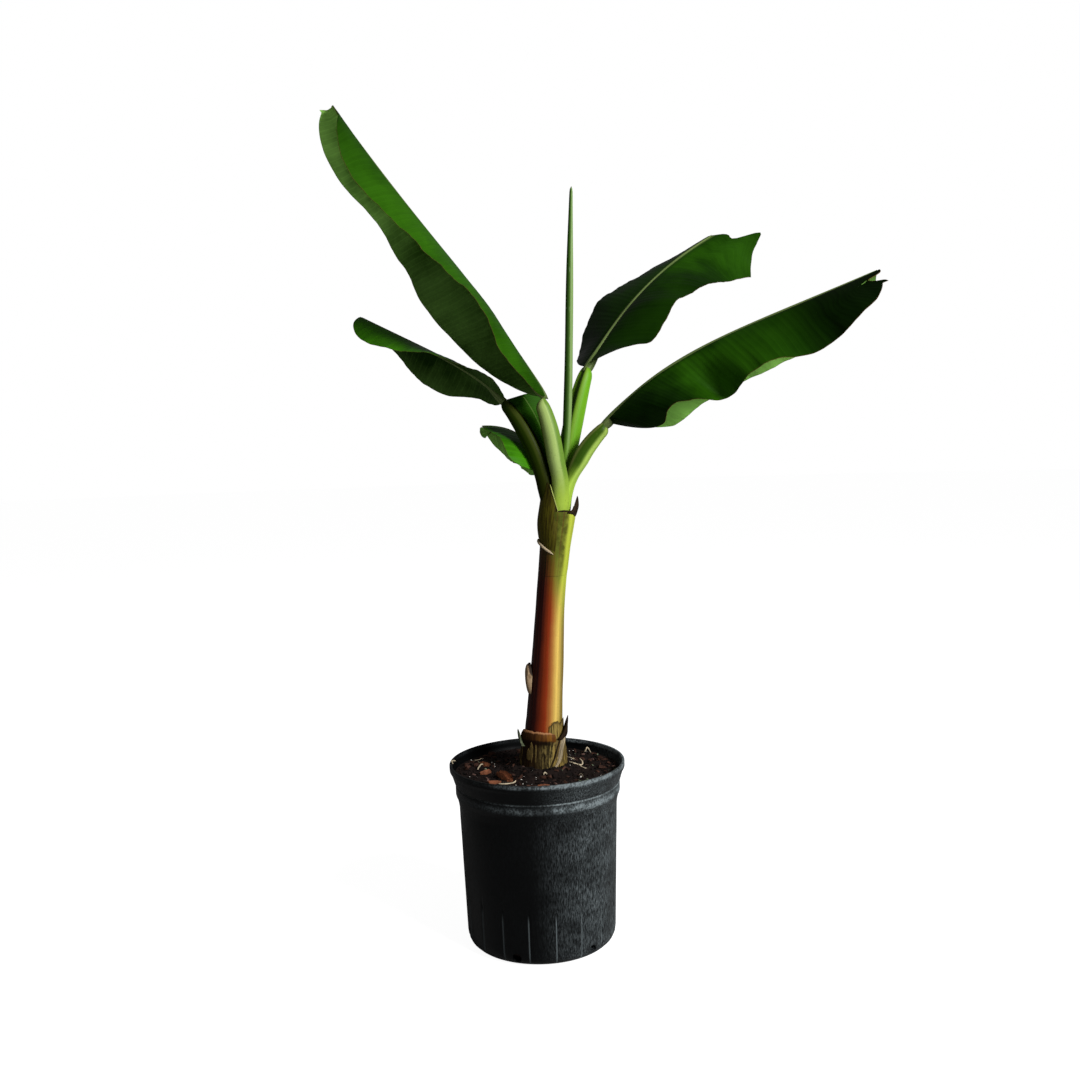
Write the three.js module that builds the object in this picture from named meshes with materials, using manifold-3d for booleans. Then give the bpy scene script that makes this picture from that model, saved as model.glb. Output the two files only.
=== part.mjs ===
// Young banana plant in a round black nursery pot: one leaning pseudostem of wrapped leaf sheaths,
// five leaves folded down along their midribs, and a rolled new leaf standing straight up.
// Millimetres, +Z up. The origin is the centre of the pot's flat underside, and the plant is seen
// from -Y, so +X is its right. An azimuth is counted from +X towards +Y.

import * as THREE from "three";
import { mergeVertices } from "three/addons/utils/BufferGeometryUtils.js";
import Module from "manifold-3d";

const wasm = await Module();
wasm.setup();

// Clearance between solids that touch on the real plant.
const GAP = 0.3;
// A little more where two faceted surfaces follow the same curve.
const FACET_GAP = 0.5;

// Pot, 229 mm across its rolled lip.
const POT_HEIGHT = 239;
const POT_WALL = 2;
const POT_FLOOR = 2.2;
const LIP_RADIUS = 116;
const LIP_DEPTH = 10;
const BAND_RADIUS = 109;
const BAND_TOP = 211;
const BAND_BOTTOM = 200;
const BODY_TOP_RADIUS = 104.6;
const BODY_TOP = 184;
const BODY_FOOT_RADIUS = 98.5;
const CORNER_RADIUS = 16;
const POT_SEGMENTS = 48;
const DRAIN_COUNT = 6;
const DRAIN_DIAMETER = 12;
const DRAIN_HEIGHT = 11;
const DRAIN_FIRST_AZIMUTH = -49;
const DRAIN_SLOPE = 30;

// Soil, level with the foot of the stem and a little lower at the wall.
const SOIL_TOP = 229;
const SOIL_EDGE = 226;
const SOIL_FLAT_RADIUS = 46;

// Pseudostem: height, place along X of its centre, and radius, from the soil to the crown.
const STEM_FOOT = SOIL_TOP + GAP;
const STEM_TOP = 575;
const STEM_PROFILE = [
  { z: STEM_FOOT, x: 8.3, radius: 28.3 },
  { z: 262, x: 9.3, radius: 25.8 },
  { z: 298, x: 11.4, radius: 23.9 },
  { z: 384, x: 18.4, radius: 20.9 },
  { z: 447, x: 23.4, radius: 19 },
  { z: 521, x: 31.3, radius: 19.4 },
  { z: STEM_TOP, x: 38, radius: 20.8 },
];
const STEM_RINGS = 18;
const STEM_SEGMENTS = 28;

// Crown: the top of the pseudostem, where the leaf stalks part.
const CROWN = new THREE.Vector3(38, 0, STEM_TOP);

// Dry and torn sheaths on the stem. Each is a curved plate of the given spread about its azimuth,
// from bottom to top. tipShare is its width at the top, and flare is how far the top stands off.
const SHEATHS = [
  { name: "sheath_foot_front", azimuth: -92, spread: 158, bottom: STEM_FOOT, top: 268, thickness: 2.4,
    tipShare: 0.8, flare: 0.6, tone: "dry" },
  { name: "sheath_foot_back", azimuth: 88, spread: 158, bottom: STEM_FOOT, top: 280, thickness: 2.4,
    tipShare: 0.7, flare: 0.8, tone: "dry" },
  { name: "sheath_spike_right", azimuth: -6, spread: 46, bottom: 262, top: 296, thickness: 1.6,
    tipShare: 0.1, flare: 4, standoff: 4.4, tone: "dark" },
  { name: "sheath_spike_left", azimuth: 180, spread: 44, bottom: 250, top: 280, thickness: 1.6,
    tipShare: 0.1, flare: 6, standoff: 3.6, tone: "dark" },
  { name: "sheath_scale_left", azimuth: 184, spread: 46, bottom: 332, top: 369, thickness: 1.4,
    tipShare: 0.25, flare: 4.5, tone: "dry" },
  { name: "sheath_collar_front", azimuth: -66, spread: 128, bottom: 516, top: 574, thickness: 1.6,
    tipShare: 1, flare: 0.6, tone: "green" },
  { name: "sheath_collar_left", azimuth: 178, spread: 96, bottom: 524, top: 574, thickness: 1.8,
    tipShare: 1, flare: 0.4, tone: "maroon" },
  { name: "sheath_tip_right", azimuth: 8, spread: 16, bottom: 548, top: 592, thickness: 1.4,
    tipShare: 0.3, flare: 3.2, tone: "dark" },
];

// Leaves, from the crown. A midrib is a cubic curve of four points, and a half blade hangs from it
// at the droop angles, which run evenly from foot to tip: 0 is flat and 90 hangs straight down.
// curl is how much more the margin droops than the base of the half, sweep how far the veins lean
// towards the tip at foot and tip, and ends the shares of the length that round off at each end.
// A stalk rises straight from its foot and runs out along the midrib's line.
const LEAVES = [
  { name: "leaf_tall",
    midrib: [[-11, -16, 142], [-120, -35, 325], [-125, -36, 302], [-262, -60, 503]],
    halfWidth: 65, thickness: 4.6, curl: 30, sweep: [12, 11], ends: [0.16, 0.22],
    droop: { right: [33, 48, 65, 76, 51, 43, 37, 55, 61], left: [30, 26, 16, 21, 27, 31, 38, 39, 13] },
    ribRadius: [3.2, 1.2], rows: 18,
    stalk: { foot: [3, -14], radius: [7.2, 9, 5.6], rise: 38, run: 28 } },
  { name: "leaf_long",
    midrib: [[62, -9, 108], [145, -27, 196], [225, -44, 214], [393, -79, 282]],
    halfWidth: 80, thickness: 4.1, curl: 30, sweep: [25, 10], ends: [0.08, 0.2],
    droop: { right: [75, 45, 53, 83, 54, 49, 61, 42, 40], left: [61, 65, 57, 54, 53, 50, 46, 40, 34] },
    ribRadius: [3.2, 1.2], rows: 18,
    stalk: { foot: [16, -5], radius: [7.2, 10, 6.4], rise: 58, run: 26 } },
  { name: "leaf_upper",
    midrib: [[43, 29, 183], [90, 66, 253], [133, 100, 310], [235, 179, 374]],
    halfWidth: 77, thickness: 3.4, curl: 15, sweep: [11, 25], ends: [0.1, 0],
    droop: { right: [-11, 14, 14, 11, 21, 29, 47, 62, 30], left: [20, 18, 8, -1, 1, 7, 10, 16, 18] },
    ribRadius: [3, 1.6], rows: 16,
    stalk: { foot: [9, 14], radius: [6.4, 9, 7.6], rise: 38, run: 28 } },
  { name: "leaf_left",
    midrib: [[-66, 4, 142], [-111, 15, 186], [-154, 26, 204], [-253, 50, 257]],
    halfWidth: 47, thickness: 2.6, curl: 25, sweep: [0, 11], ends: [0.15, 0.16],
    droop: { right: [30, 34, 48, 78, 75, 55, 30, 44], left: [-20, -20, -8, -5, 5, 20, 31, 28] },
    ribRadius: [2.6, 1.1], rows: 16,
    stalk: { foot: [-12.5, -1], radius: [7.4, 9.6, 5.2], rise: 66, run: 24 } },
  { name: "leaf_small",
    midrib: [[-33, 28, 80], [-48, 48, 101], [-72, 78, 110], [-101, 115, 110]],
    halfWidth: 50, thickness: 1.8, curl: 20, sweep: [10, 0], ends: [0.16, 0.45],
    droop: { right: [80, 76, 72, 70, 70], left: [-10, -10, -5, 8, 20] },
    ribRadius: [2.2, 1.2], rows: 12,
    stalk: { foot: [-8, 13], radius: [6.6, 6, 4.2], rise: 38, run: 28 } },
];
const HALF_COLUMNS = 4;
const RIB_SEGMENTS = 8;
const STALK_SEGMENTS = 12;
const STALK_ROWS = 10;
// A half blade never narrows past this share of its width, so its ends stay solid.
const LEAST_WIDTH = 0.07;

// Base lobe of the left leaf: the part of its blade that runs down the stalk and stands up behind it.
const LOBE = {
  name: "leaf_left_base_lobe",
  from: 0.45,
  to: 0.97,
  width: 42,
  thickness: 2.2,
  droop: -68,
  curl: 24,
  sweep: -22,
  rows: 8,
  columns: 3,
};

// Rolled new leaf at the middle of the crown.
const SPEAR = {
  curve: [[1, 3, 3 * GAP], [20, 4, 90], [18, 0, 200], [28.4, 0, 407]],
  radii: [2.4, 4.4, 5.6, 5.2, 4.6, 2],
  rows: 20,
  segments: 12,
};

const COLOURS = {
  pot: new THREE.Color(0x1c2023),
  soil: new THREE.Color(0x2a1a12),
  stem: new THREE.Color(0x8a4a22),
  dry: new THREE.Color(0x7a6a3a),
  dark: new THREE.Color(0x2e2418),
  green: new THREE.Color(0x6f8a2c),
  maroon: new THREE.Color(0x4a1f18),
  stalk: new THREE.Color(0x8cae4a),
  rib: new THREE.Color(0x7c9a44),
  blade: new THREE.Color(0x245a16),
  spear: new THREE.Color(0x7fa64a),
};

function finish(colour, roughness) {
  return new THREE.MeshStandardMaterial({ color: colour, roughness, metalness: 0 });
}

function part(name, geometry, colour, roughness) {
  const mesh = new THREE.Mesh(geometry, finish(colour, roughness));
  mesh.name = name;
  return mesh;
}

function radians(degrees) {
  return THREE.MathUtils.degToRad(degrees);
}

// A value between evenly spaced ones, on a smooth curve through them.
function along(values, share) {
  const last = values.length - 1;
  const place = Math.min(Math.max(share, 0), 1) * last;
  const index = Math.min(Math.floor(place), last - 1);
  const rest = place - index;
  const start = values[index];
  const end = values[index + 1];
  const before = index > 0 ? values[index - 1] : 2 * start - end;
  const after = index + 2 <= last ? values[index + 2] : 2 * end - start;
  const linear = end - before;
  const square = 2 * before - 5 * start + 4 * end - after;
  const cube = 3 * start - before - 3 * end + after;
  return 0.5 * (2 * start + linear * rest + square * rest ** 2 + cube * rest ** 3);
}

// Rows stand closer together towards both ends.
function station(share) {
  return (1 - Math.cos(Math.PI * share)) / 2;
}

// The signed volume of an indexed geometry, which is negative when its faces point inwards.
function signedVolume(geometry) {
  const position = geometry.getAttribute("position");
  const index = geometry.getIndex();
  const corners = [new THREE.Vector3(), new THREE.Vector3(), new THREE.Vector3()];
  let total = 0;
  for (let i = 0; i < index.count; i += 3) {
    corners.forEach((corner, k) => corner.fromBufferAttribute(position, index.getX(i + k)));
    total += corners[0].dot(corners[1].cross(corners[2])) / 6;
  }
  return total;
}

// A closed geometry with every vertex moved to its place, and its faces kept pointing out.
function shaped(geometry, place) {
  geometry.deleteAttribute("normal");
  geometry.deleteAttribute("uv");
  const position = geometry.getAttribute("position");
  const point = new THREE.Vector3();
  for (let i = 0; i < position.count; i += 1) {
    point.fromBufferAttribute(position, i);
    const moved = place(point);
    position.setXYZ(i, moved.x, moved.y, moved.z);
  }
  const merged = mergeVertices(geometry, 1e-4);
  if (signedVolume(merged) < 0) {
    const index = merged.getIndex();
    for (let i = 0; i < index.count; i += 3) {
      const second = index.getX(i + 1);
      index.setX(i + 1, index.getX(i + 2));
      index.setX(i + 2, second);
    }
  }
  merged.computeVertexNormals();
  return merged;
}

function solidOf(geometry) {
  const bare = geometry.clone();
  bare.deleteAttribute("normal");
  bare.deleteAttribute("uv");
  const merged = mergeVertices(bare, 1e-4);
  const vertProperties = new Float32Array(merged.getAttribute("position").array);
  const triVerts = new Uint32Array(merged.getIndex().array);
  return new wasm.Manifold(new wasm.Mesh({ numProp: 3, vertProperties, triVerts }));
}

function geometryOf(solid) {
  const mesh = solid.getMesh();
  const geometry = new THREE.BufferGeometry();
  geometry.setAttribute("position", new THREE.BufferAttribute(mesh.vertProperties, 3));
  geometry.setIndex(new THREE.BufferAttribute(mesh.triVerts, 1));
  geometry.computeVertexNormals();
  return geometry;
}

function cubic(points) {
  return new THREE.CubicBezierCurve3(...points.map((p) => new THREE.Vector3(...p)));
}

// Where a curve runs at a share of its length: ahead, sideways to the right, and to its underside.
function frameAt(curve, share) {
  const centre = curve.getPoint(share);
  const ahead = curve.getTangent(share);
  const right = new THREE.Vector3().crossVectors(ahead, new THREE.Vector3(0, 0, 1)).normalize();
  const under = new THREE.Vector3().crossVectors(ahead, right);
  return { centre, ahead, right, under };
}

// A round tube along a curve. sink moves it to the curve's underside by a share of its radius.
function tube(curve, radiusAt, rows, segments, sinkAt = () => 0) {
  const cylinder = new THREE.CylinderGeometry(1, 1, 1, segments, rows);
  return shaped(cylinder, (point) => {
    const share = station(point.y + 0.5);
    const frame = frameAt(curve, share);
    const radius = radiusAt(share);
    return frame.centre
      .addScaledVector(frame.right, point.x * radius)
      .addScaledVector(frame.under, (point.z + sinkAt(share)) * radius);
  });
}

// Pot

function potOutline() {
  const outline = [new THREE.Vector2(0, 0)];
  const corner = new THREE.Path();
  corner.absarc(BODY_FOOT_RADIUS - CORNER_RADIUS, CORNER_RADIUS, CORNER_RADIUS, -Math.PI / 2, 0);
  outline.push(...corner.getSpacedPoints(5));
  outline.push(
    new THREE.Vector2(BODY_TOP_RADIUS, BODY_TOP),
    new THREE.Vector2(BAND_RADIUS - 2.5, BAND_BOTTOM - 6),
    new THREE.Vector2(BAND_RADIUS, BAND_BOTTOM),
    new THREE.Vector2(BAND_RADIUS, BAND_TOP),
    new THREE.Vector2(LIP_RADIUS - 1.8, POT_HEIGHT - LIP_DEPTH),
    new THREE.Vector2(LIP_RADIUS, POT_HEIGHT - LIP_DEPTH + 4),
    new THREE.Vector2(LIP_RADIUS, POT_HEIGHT - 1),
    new THREE.Vector2(LIP_RADIUS - 1, POT_HEIGHT),
    new THREE.Vector2(LIP_RADIUS - POT_WALL - 1.4, POT_HEIGHT),
  );
  return outline;
}

function potInside(clearance) {
  const wall = POT_WALL + clearance;
  const floor = POT_FLOOR + clearance;
  return [
    new THREE.Vector2(LIP_RADIUS - wall - 2, POT_HEIGHT - LIP_DEPTH),
    new THREE.Vector2(BAND_RADIUS - wall, BAND_TOP),
    new THREE.Vector2(BAND_RADIUS - wall, BAND_BOTTOM),
    new THREE.Vector2(BODY_TOP_RADIUS - wall, BODY_TOP),
    new THREE.Vector2(BODY_FOOT_RADIUS - wall, CORNER_RADIUS),
    new THREE.Vector2(BODY_FOOT_RADIUS - wall - 4, floor + 4.5),
    new THREE.Vector2(BODY_FOOT_RADIUS - CORNER_RADIUS, floor),
  ];
}

// A lathe turns about Y, and the pot stands along Z.
function turned(outline) {
  const lathe = new THREE.LatheGeometry(outline, POT_SEGMENTS);
  lathe.rotateX(Math.PI / 2);
  return shaped(lathe, (point) => point.clone());
}

function drainPunch(azimuth) {
  const punch = new THREE.CylinderGeometry(DRAIN_DIAMETER / 2, DRAIN_DIAMETER / 2, 40, 16);
  punch.rotateZ(Math.PI / 2);
  punch.rotateY(radians(DRAIN_SLOPE));
  punch.translate(BODY_FOOT_RADIUS, 0, DRAIN_HEIGHT);
  punch.rotateZ(radians(azimuth));
  return solidOf(punch);
}

function makePot() {
  let shell = solidOf(turned([...potOutline(), ...potInside(0), new THREE.Vector2(0, POT_FLOOR)]));
  for (let i = 0; i < DRAIN_COUNT; i += 1) {
    shell = shell.subtract(drainPunch(DRAIN_FIRST_AZIMUTH + (i * 360) / DRAIN_COUNT));
  }
  return part("pot", geometryOf(shell), COLOURS.pot, 0.55);
}

function makeSoil() {
  const wall = potInside(GAP);
  const outline = [new THREE.Vector2(0, POT_FLOOR + GAP), ...wall.slice(1).reverse()];
  const lip = wall[0];
  const rise = (SOIL_EDGE - BAND_TOP) / (lip.y - BAND_TOP);
  const band = wall[1];
  outline.push(
    new THREE.Vector2(band.x + (lip.x - band.x) * rise, SOIL_EDGE),
    new THREE.Vector2(SOIL_FLAT_RADIUS, SOIL_TOP),
    new THREE.Vector2(0, SOIL_TOP),
  );
  return part("soil", turned(outline), COLOURS.soil, 0.95);
}

// Stem

function stemAt(height) {
  const curve = new THREE.SplineCurve(STEM_PROFILE.map((s) => new THREE.Vector2(s.x, s.radius)));
  const last = STEM_PROFILE.length - 1;
  let index = 0;
  while (index < last - 1 && height > STEM_PROFILE[index + 1].z) {
    index += 1;
  }
  const low = STEM_PROFILE[index];
  const high = STEM_PROFILE[index + 1];
  const share = (index + (height - low.z) / (high.z - low.z)) / last;
  const found = curve.getPoint(share);
  return { x: found.x, radius: found.y };
}

function onStem(height, azimuth, standoff) {
  const ring = stemAt(height);
  const reach = ring.radius + standoff;
  return new THREE.Vector3(
    ring.x + reach * Math.cos(azimuth),
    reach * Math.sin(azimuth),
    height,
  );
}

function makeStem() {
  const cylinder = new THREE.CylinderGeometry(1, 1, 1, STEM_SEGMENTS, STEM_RINGS);
  const geometry = shaped(cylinder, (point) => {
    const height = STEM_FOOT + (STEM_TOP - STEM_FOOT) * (point.y + 0.5);
    const ring = stemAt(height);
    return new THREE.Vector3(ring.x + ring.radius * point.x, ring.radius * point.z, height);
  });
  return part("pseudostem", geometry, COLOURS.stem, 0.5);
}

function makeSheath(sheath) {
  const columns = Math.max(2, Math.round(sheath.spread / 14));
  const plate = new THREE.BoxGeometry(1, 1, 1, columns, 6, 1);
  const standoff = sheath.standoff ?? FACET_GAP;
  const geometry = shaped(plate, (point) => {
    const rise = point.y + 0.5;
    const height = sheath.bottom + (sheath.top - sheath.bottom) * rise;
    const width = 1 - (1 - sheath.tipShare) * rise ** 1.6;
    const azimuth = radians(sheath.azimuth + sheath.spread * width * point.x);
    const outward = standoff + sheath.flare * rise ** 2 + sheath.thickness * (point.z + 0.5);
    return onStem(height, azimuth, outward);
  });
  return part(sheath.name, geometry, COLOURS[sheath.tone], 0.7);
}

// Leaves

// The share of the full half width at a place along the blade.
function outlineShare(share, ends) {
  const [foot, tip] = ends;
  const rounded = (distance, reach) => {
    if (reach === 0 || distance >= reach) {
      return 1;
    }
    return Math.sqrt(1 - (1 - distance / reach) ** 2);
  };
  return Math.max(rounded(share, foot) * rounded(1 - share, tip), LEAST_WIDTH);
}

// A point of a half blade: across runs from the midrib to the margin, and depth from the upper
// face to the under face.
function bladePoint(frame, side, form, across, depth) {
  const { width, droop, curl, sweep, inset } = form;
  const start = droop - curl / 2;
  const end = start + curl * across;
  const out = ((Math.sin(end) - Math.sin(start)) / curl) * width * Math.cos(sweep);
  const down = ((Math.cos(start) - Math.cos(end)) / curl) * width * Math.cos(sweep);
  const forward = across * width * Math.sin(sweep);
  return frame.centre
    .clone()
    .addScaledVector(frame.right, side * (inset + out - depth * Math.sin(end)))
    .addScaledVector(frame.under, down + depth * Math.cos(end))
    .addScaledVector(frame.ahead, forward);
}

function makeHalf(leaf, curve, sideName) {
  const side = sideName === "right" ? 1 : -1;
  const plate = new THREE.BoxGeometry(1, 1, 1, leaf.rows, HALF_COLUMNS, 1);
  const curl = radians(leaf.curl);
  const geometry = shaped(plate, (point) => {
    const share = station(point.x + 0.5);
    const droop = radians(along(leaf.droop[sideName], share));
    const ribRadius = THREE.MathUtils.lerp(...leaf.ribRadius, share);
    const inward = Math.max(0, Math.sin(droop - curl / 2));
    const form = {
      width: leaf.halfWidth * outlineShare(share, leaf.ends),
      droop,
      curl,
      sweep: radians(THREE.MathUtils.lerp(...leaf.sweep, share)),
      inset: ribRadius + FACET_GAP + leaf.thickness * inward,
    };
    const depth = leaf.thickness * (0.5 - point.z);
    return bladePoint(frameAt(curve, share), side, form, point.y + 0.5, depth);
  });
  return part(`${leaf.name}_blade_${sideName}`, geometry, COLOURS.blade, 0.45);
}

function makeRib(leaf, curve) {
  const radiusAt = (share) => THREE.MathUtils.lerp(...leaf.ribRadius, share);
  const geometry = tube(curve, radiusAt, leaf.rows, RIB_SEGMENTS, () => 1);
  return part(`${leaf.name}_midrib`, geometry, COLOURS.rib, 0.5);
}

// The stalk rises from the crown and bends into the line of the midrib.
function stalkCurve(leaf, curve) {
  const { foot, rise, run } = leaf.stalk;
  const [x, y] = foot;
  const end = frameAt(curve, 0);
  return new THREE.CubicBezierCurve3(
    new THREE.Vector3(x, y, GAP),
    new THREE.Vector3(x, y, GAP + rise),
    end.centre.clone().addScaledVector(end.ahead, -run),
    end.centre.clone().addScaledVector(end.ahead, -GAP),
  );
}

function makeStalk(leaf, curve) {
  const path = stalkCurve(leaf, curve);
  const across = frameAt(curve, 0).right;
  const cylinder = new THREE.CylinderGeometry(1, 1, 1, STALK_SEGMENTS, STALK_ROWS);
  const geometry = shaped(cylinder, (point) => {
    const share = point.y + 0.5;
    const ahead = path.getTangent(share);
    const under = new THREE.Vector3().crossVectors(ahead, across).normalize();
    const right = new THREE.Vector3().crossVectors(under, ahead);
    const radius = along(leaf.stalk.radius, share);
    const sink = 0.7 * share ** 2;
    return path
      .getPoint(share)
      .addScaledVector(right, point.x * radius)
      .addScaledVector(under, (point.z + sink) * radius);
  });
  return part(`${leaf.name}_stalk`, geometry, COLOURS.stalk, 0.4);
}

function makeLobe(leaf) {
  const curve = stalkCurve(leaf, cubic(leaf.midrib));
  const plate = new THREE.BoxGeometry(1, 1, 1, LOBE.rows, LOBE.columns, 1);
  const geometry = shaped(plate, (point) => {
    const share = point.x + 0.5;
    const place = THREE.MathUtils.lerp(LOBE.from, LOBE.to, share);
    const form = {
      width: LOBE.width * outlineShare(share, [0.7, 0.1]),
      droop: radians(LOBE.droop),
      curl: radians(LOBE.curl),
      sweep: radians(LOBE.sweep),
      inset: along(leaf.stalk.radius, place) + FACET_GAP,
    };
    const depth = LOBE.thickness * (0.5 - point.z);
    return bladePoint(frameAt(curve, place), 1, form, point.y + 0.5, depth);
  });
  return part(LOBE.name, geometry, COLOURS.blade, 0.45);
}

function makeLeaf(leaf) {
  const group = new THREE.Group();
  const curve = cubic(leaf.midrib);
  group.add(makeStalk(leaf, curve));
  group.add(makeRib(leaf, curve));
  group.add(makeHalf(leaf, curve, "left"));
  group.add(makeHalf(leaf, curve, "right"));
  if (LOBE.name.startsWith(leaf.name)) {
    group.add(makeLobe(leaf));
  }
  return group;
}

function makeSpear() {
  const radiusAt = (share) => along(SPEAR.radii, share);
  const geometry = tube(cubic(SPEAR.curve), radiusAt, SPEAR.rows, SPEAR.segments);
  return part("leaf_spear", geometry, COLOURS.spear, 0.45);
}

// Assembly

const plant = new THREE.Group();
plant.add(makePot());
plant.add(makeSoil());
plant.add(makeStem());
SHEATHS.forEach((sheath) => plant.add(makeSheath(sheath)));

const crown = new THREE.Group();
crown.position.copy(CROWN);
LEAVES.forEach((leaf) => crown.add(makeLeaf(leaf)));
crown.add(makeSpear());
plant.add(crown);

export default plant;
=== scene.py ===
import math
import random
from functools import reduce

import bmesh
import bpy
from mathutils import Matrix, Vector, noise


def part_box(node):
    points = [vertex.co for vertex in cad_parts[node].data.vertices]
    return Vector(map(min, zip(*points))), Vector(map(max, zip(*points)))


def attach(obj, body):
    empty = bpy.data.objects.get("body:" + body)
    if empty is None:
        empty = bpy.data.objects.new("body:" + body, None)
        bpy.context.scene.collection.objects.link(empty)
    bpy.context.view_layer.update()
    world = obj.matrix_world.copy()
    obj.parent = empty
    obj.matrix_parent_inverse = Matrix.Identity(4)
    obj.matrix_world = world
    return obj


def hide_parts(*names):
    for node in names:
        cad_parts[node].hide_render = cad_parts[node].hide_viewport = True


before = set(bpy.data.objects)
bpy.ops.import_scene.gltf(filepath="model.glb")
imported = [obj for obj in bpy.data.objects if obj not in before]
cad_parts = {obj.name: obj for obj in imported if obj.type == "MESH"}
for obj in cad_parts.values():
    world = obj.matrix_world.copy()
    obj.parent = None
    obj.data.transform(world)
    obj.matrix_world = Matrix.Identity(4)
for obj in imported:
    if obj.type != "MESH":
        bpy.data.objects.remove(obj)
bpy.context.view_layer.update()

bl_info = {
    "name": "Young banana plant in a nursery pot",
    "version": (1, 0, 0),
    "blender": (4, 5, 0),
    "location": "3D View > Sidebar > Banana Plant",
    "description": "Builds the plant's pot, soil, stem, sheaths and leaves round the packed solids",
    "category": "Add Mesh",
}

# Every shape is worked out in millimetres, in the frame of the solids, and scaled once it is made.
MM = 0.001
_, POT_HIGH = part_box("pot")
_, SOIL_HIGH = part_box("soil")
STEM_LOW, STEM_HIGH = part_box("pseudostem")

# Pot
POT_HEIGHT = POT_HIGH[2] / MM
LIP_RADIUS = POT_HIGH[0] / MM
POT_WALL = 2.0
POT_FLOOR = 2.2
BODY_FOOT_RADIUS = 98.5
BODY_TOP_RADIUS = 104.6
BODY_TOP = 184.0
BAND_RADIUS = 109.0
BAND_BOTTOM = 200.0
BAND_TOP = 211.0
CORNER_RADIUS = 16.0
POT_TURN_STEPS = 360
LIP_HEIGHT = 10.0
# How far the thin moulded wall sways in and out, and how quickly along it.
WALL_SWAY = 0.5
WALL_SWAY_PACE = 0.012
GROOVE_FIRST_AZIMUTH = -98.7
GROOVE_BOTTOM = 10.0
GROOVE_FADE = 14.0
DRAIN_COUNT = 6
DRAIN_DIAMETER = 12.0
DRAIN_HEIGHT = 11.0
DRAIN_FIRST_AZIMUTH = -49.0
DRAIN_SLOPE = 30.0
DRAIN_CUT_DEPTH = 36.0
# Height and reach of the ridges that are brightened most: rubbed plastic on the band, and a painted highlight
# along the lip.
WORN_AND_LIT_RIDGES = ((204.5, 7.0), (212.2, 2.0), (236.8, 4.0))

# Soil
SOIL_TOP = SOIL_HIGH[2] / MM
SOIL_EDGE = 226.0
SOIL_RADIUS = 110.0
SOIL_TURN_STEPS = 220
SOIL_RINGS = 52
SOIL_GAP = 0.3
SOIL_SINK = 0.6
# Noise pace and height of the soil's lumps, from broad to fine.
SOIL_LUMPS = ((0.05, 2.2), (0.16, 1.3), (0.45, 0.8))
# The soil rises to the stem, whose foot stands a little right of the pot's middle.
STEM_FOOT_X = 8.0
STEM_CLEAR_RADIUS = 31.0
MOUND_HEIGHT = 8.0
MOUND_OUTER_RADIUS = 56.0
MOUND_INNER_RADIUS = 30.0
# Small bits on the soil: the ranges of their length, and of their width and depth as shares of it.
CRUMB_SIZES = ((1.6, 5.0), (0.5, 1.0), (0.4, 0.8))
CHIP_SIZES = ((4, 15), (0.25, 0.6), (0.12, 0.3))
FADED_SIZES = ((3, 10), (0.3, 0.7), (0.12, 0.3))
PERLITE_SIZES = ((1.2, 3.2), (0.7, 1.0), (0.6, 0.9))
SCRAP_SIZES = ((2, 6), (0.4, 0.8), (0.08, 0.16))
BIT_UNEVENNESS = (0.55, 1.2)
PERLITE_COUNT = 46
SCRAP_COUNT = 26
# Some rootlets lie close together on the right.
ROOTLET_COUNT = 6
ROOTLET_STEPS = 12
ROOT_CLUSTER_COUNT = 2
ROOT_CLUSTER = (50, 2)
ROOT_CLUSTER_SPREAD = (12, 16)

# Large pieces of bark: place, turn, length, width, depth and tilt.
LARGE_BARK = [
    (-41, -44, -52, 24, 13, 5, 14),
    (-68, -14, 20, 13, 8, 4, -10),
    (-70, 24, -30, 14, 8, 4, 12),
    (-54, -58, 12, 16, 6, 3, 6),
    (8, -78, 4, 14, 5, 3, 0),
]
# Pale curled scraps: points along each, by place and height over the soil.
PALE_CURLS = [
    [(42, -2, 0.8), (48, -4, 1.6), (56, -3, 1.4), (60, -1, 2.4), (60, 1, 8), (56, 3, 10)],
    [(-50, -62, 0.8), (-40, -64, 1.4), (-30, -61, 1.8), (-27, -57, 2.4)],
    [(8, -44, 0.8), (10, -43, 3.5), (13, -43, 1.0)],
    [(-80, 6, 0.6), (-76, 16, 4.5), (-72, 24, 1.2)],
    [(64, 70, 0.8), (67, 67, 5.0), (70, 69, 8.0), (75, 68, 1.6)],
    [(-109, 16, 11.0), (-112.5, 9, 13.5), (-113.5, 3, 14.5), (-111, -3, 12.0)],
]

# Stem: height, place along X and radius, from the soil past the crown.
STEM_FOOT = STEM_LOW[2] / MM
STEM_TOP = STEM_HIGH[2] / MM
STEM_PROFILE = [
    (STEM_FOOT, 8.3, 28.3),
    (262.0, 9.3, 25.8),
    (298.0, 11.4, 23.9),
    (384.0, 18.4, 20.9),
    (447.0, 23.4, 19.0),
    (521.0, 31.3, 19.4),
    (STEM_TOP, 38.0, 20.8),
    (640.0, 46.0, 20.0),
]
CROWN = Vector((38.0, 0.0, STEM_TOP))
UP = Vector((0.0, 0.0, 1.0))

# The margin of the outermost living sheath, a small step that runs up the stem.
OUTER_MARGIN_AZIMUTH = -14.0
OUTER_MARGIN_STEP = 0.9

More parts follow.
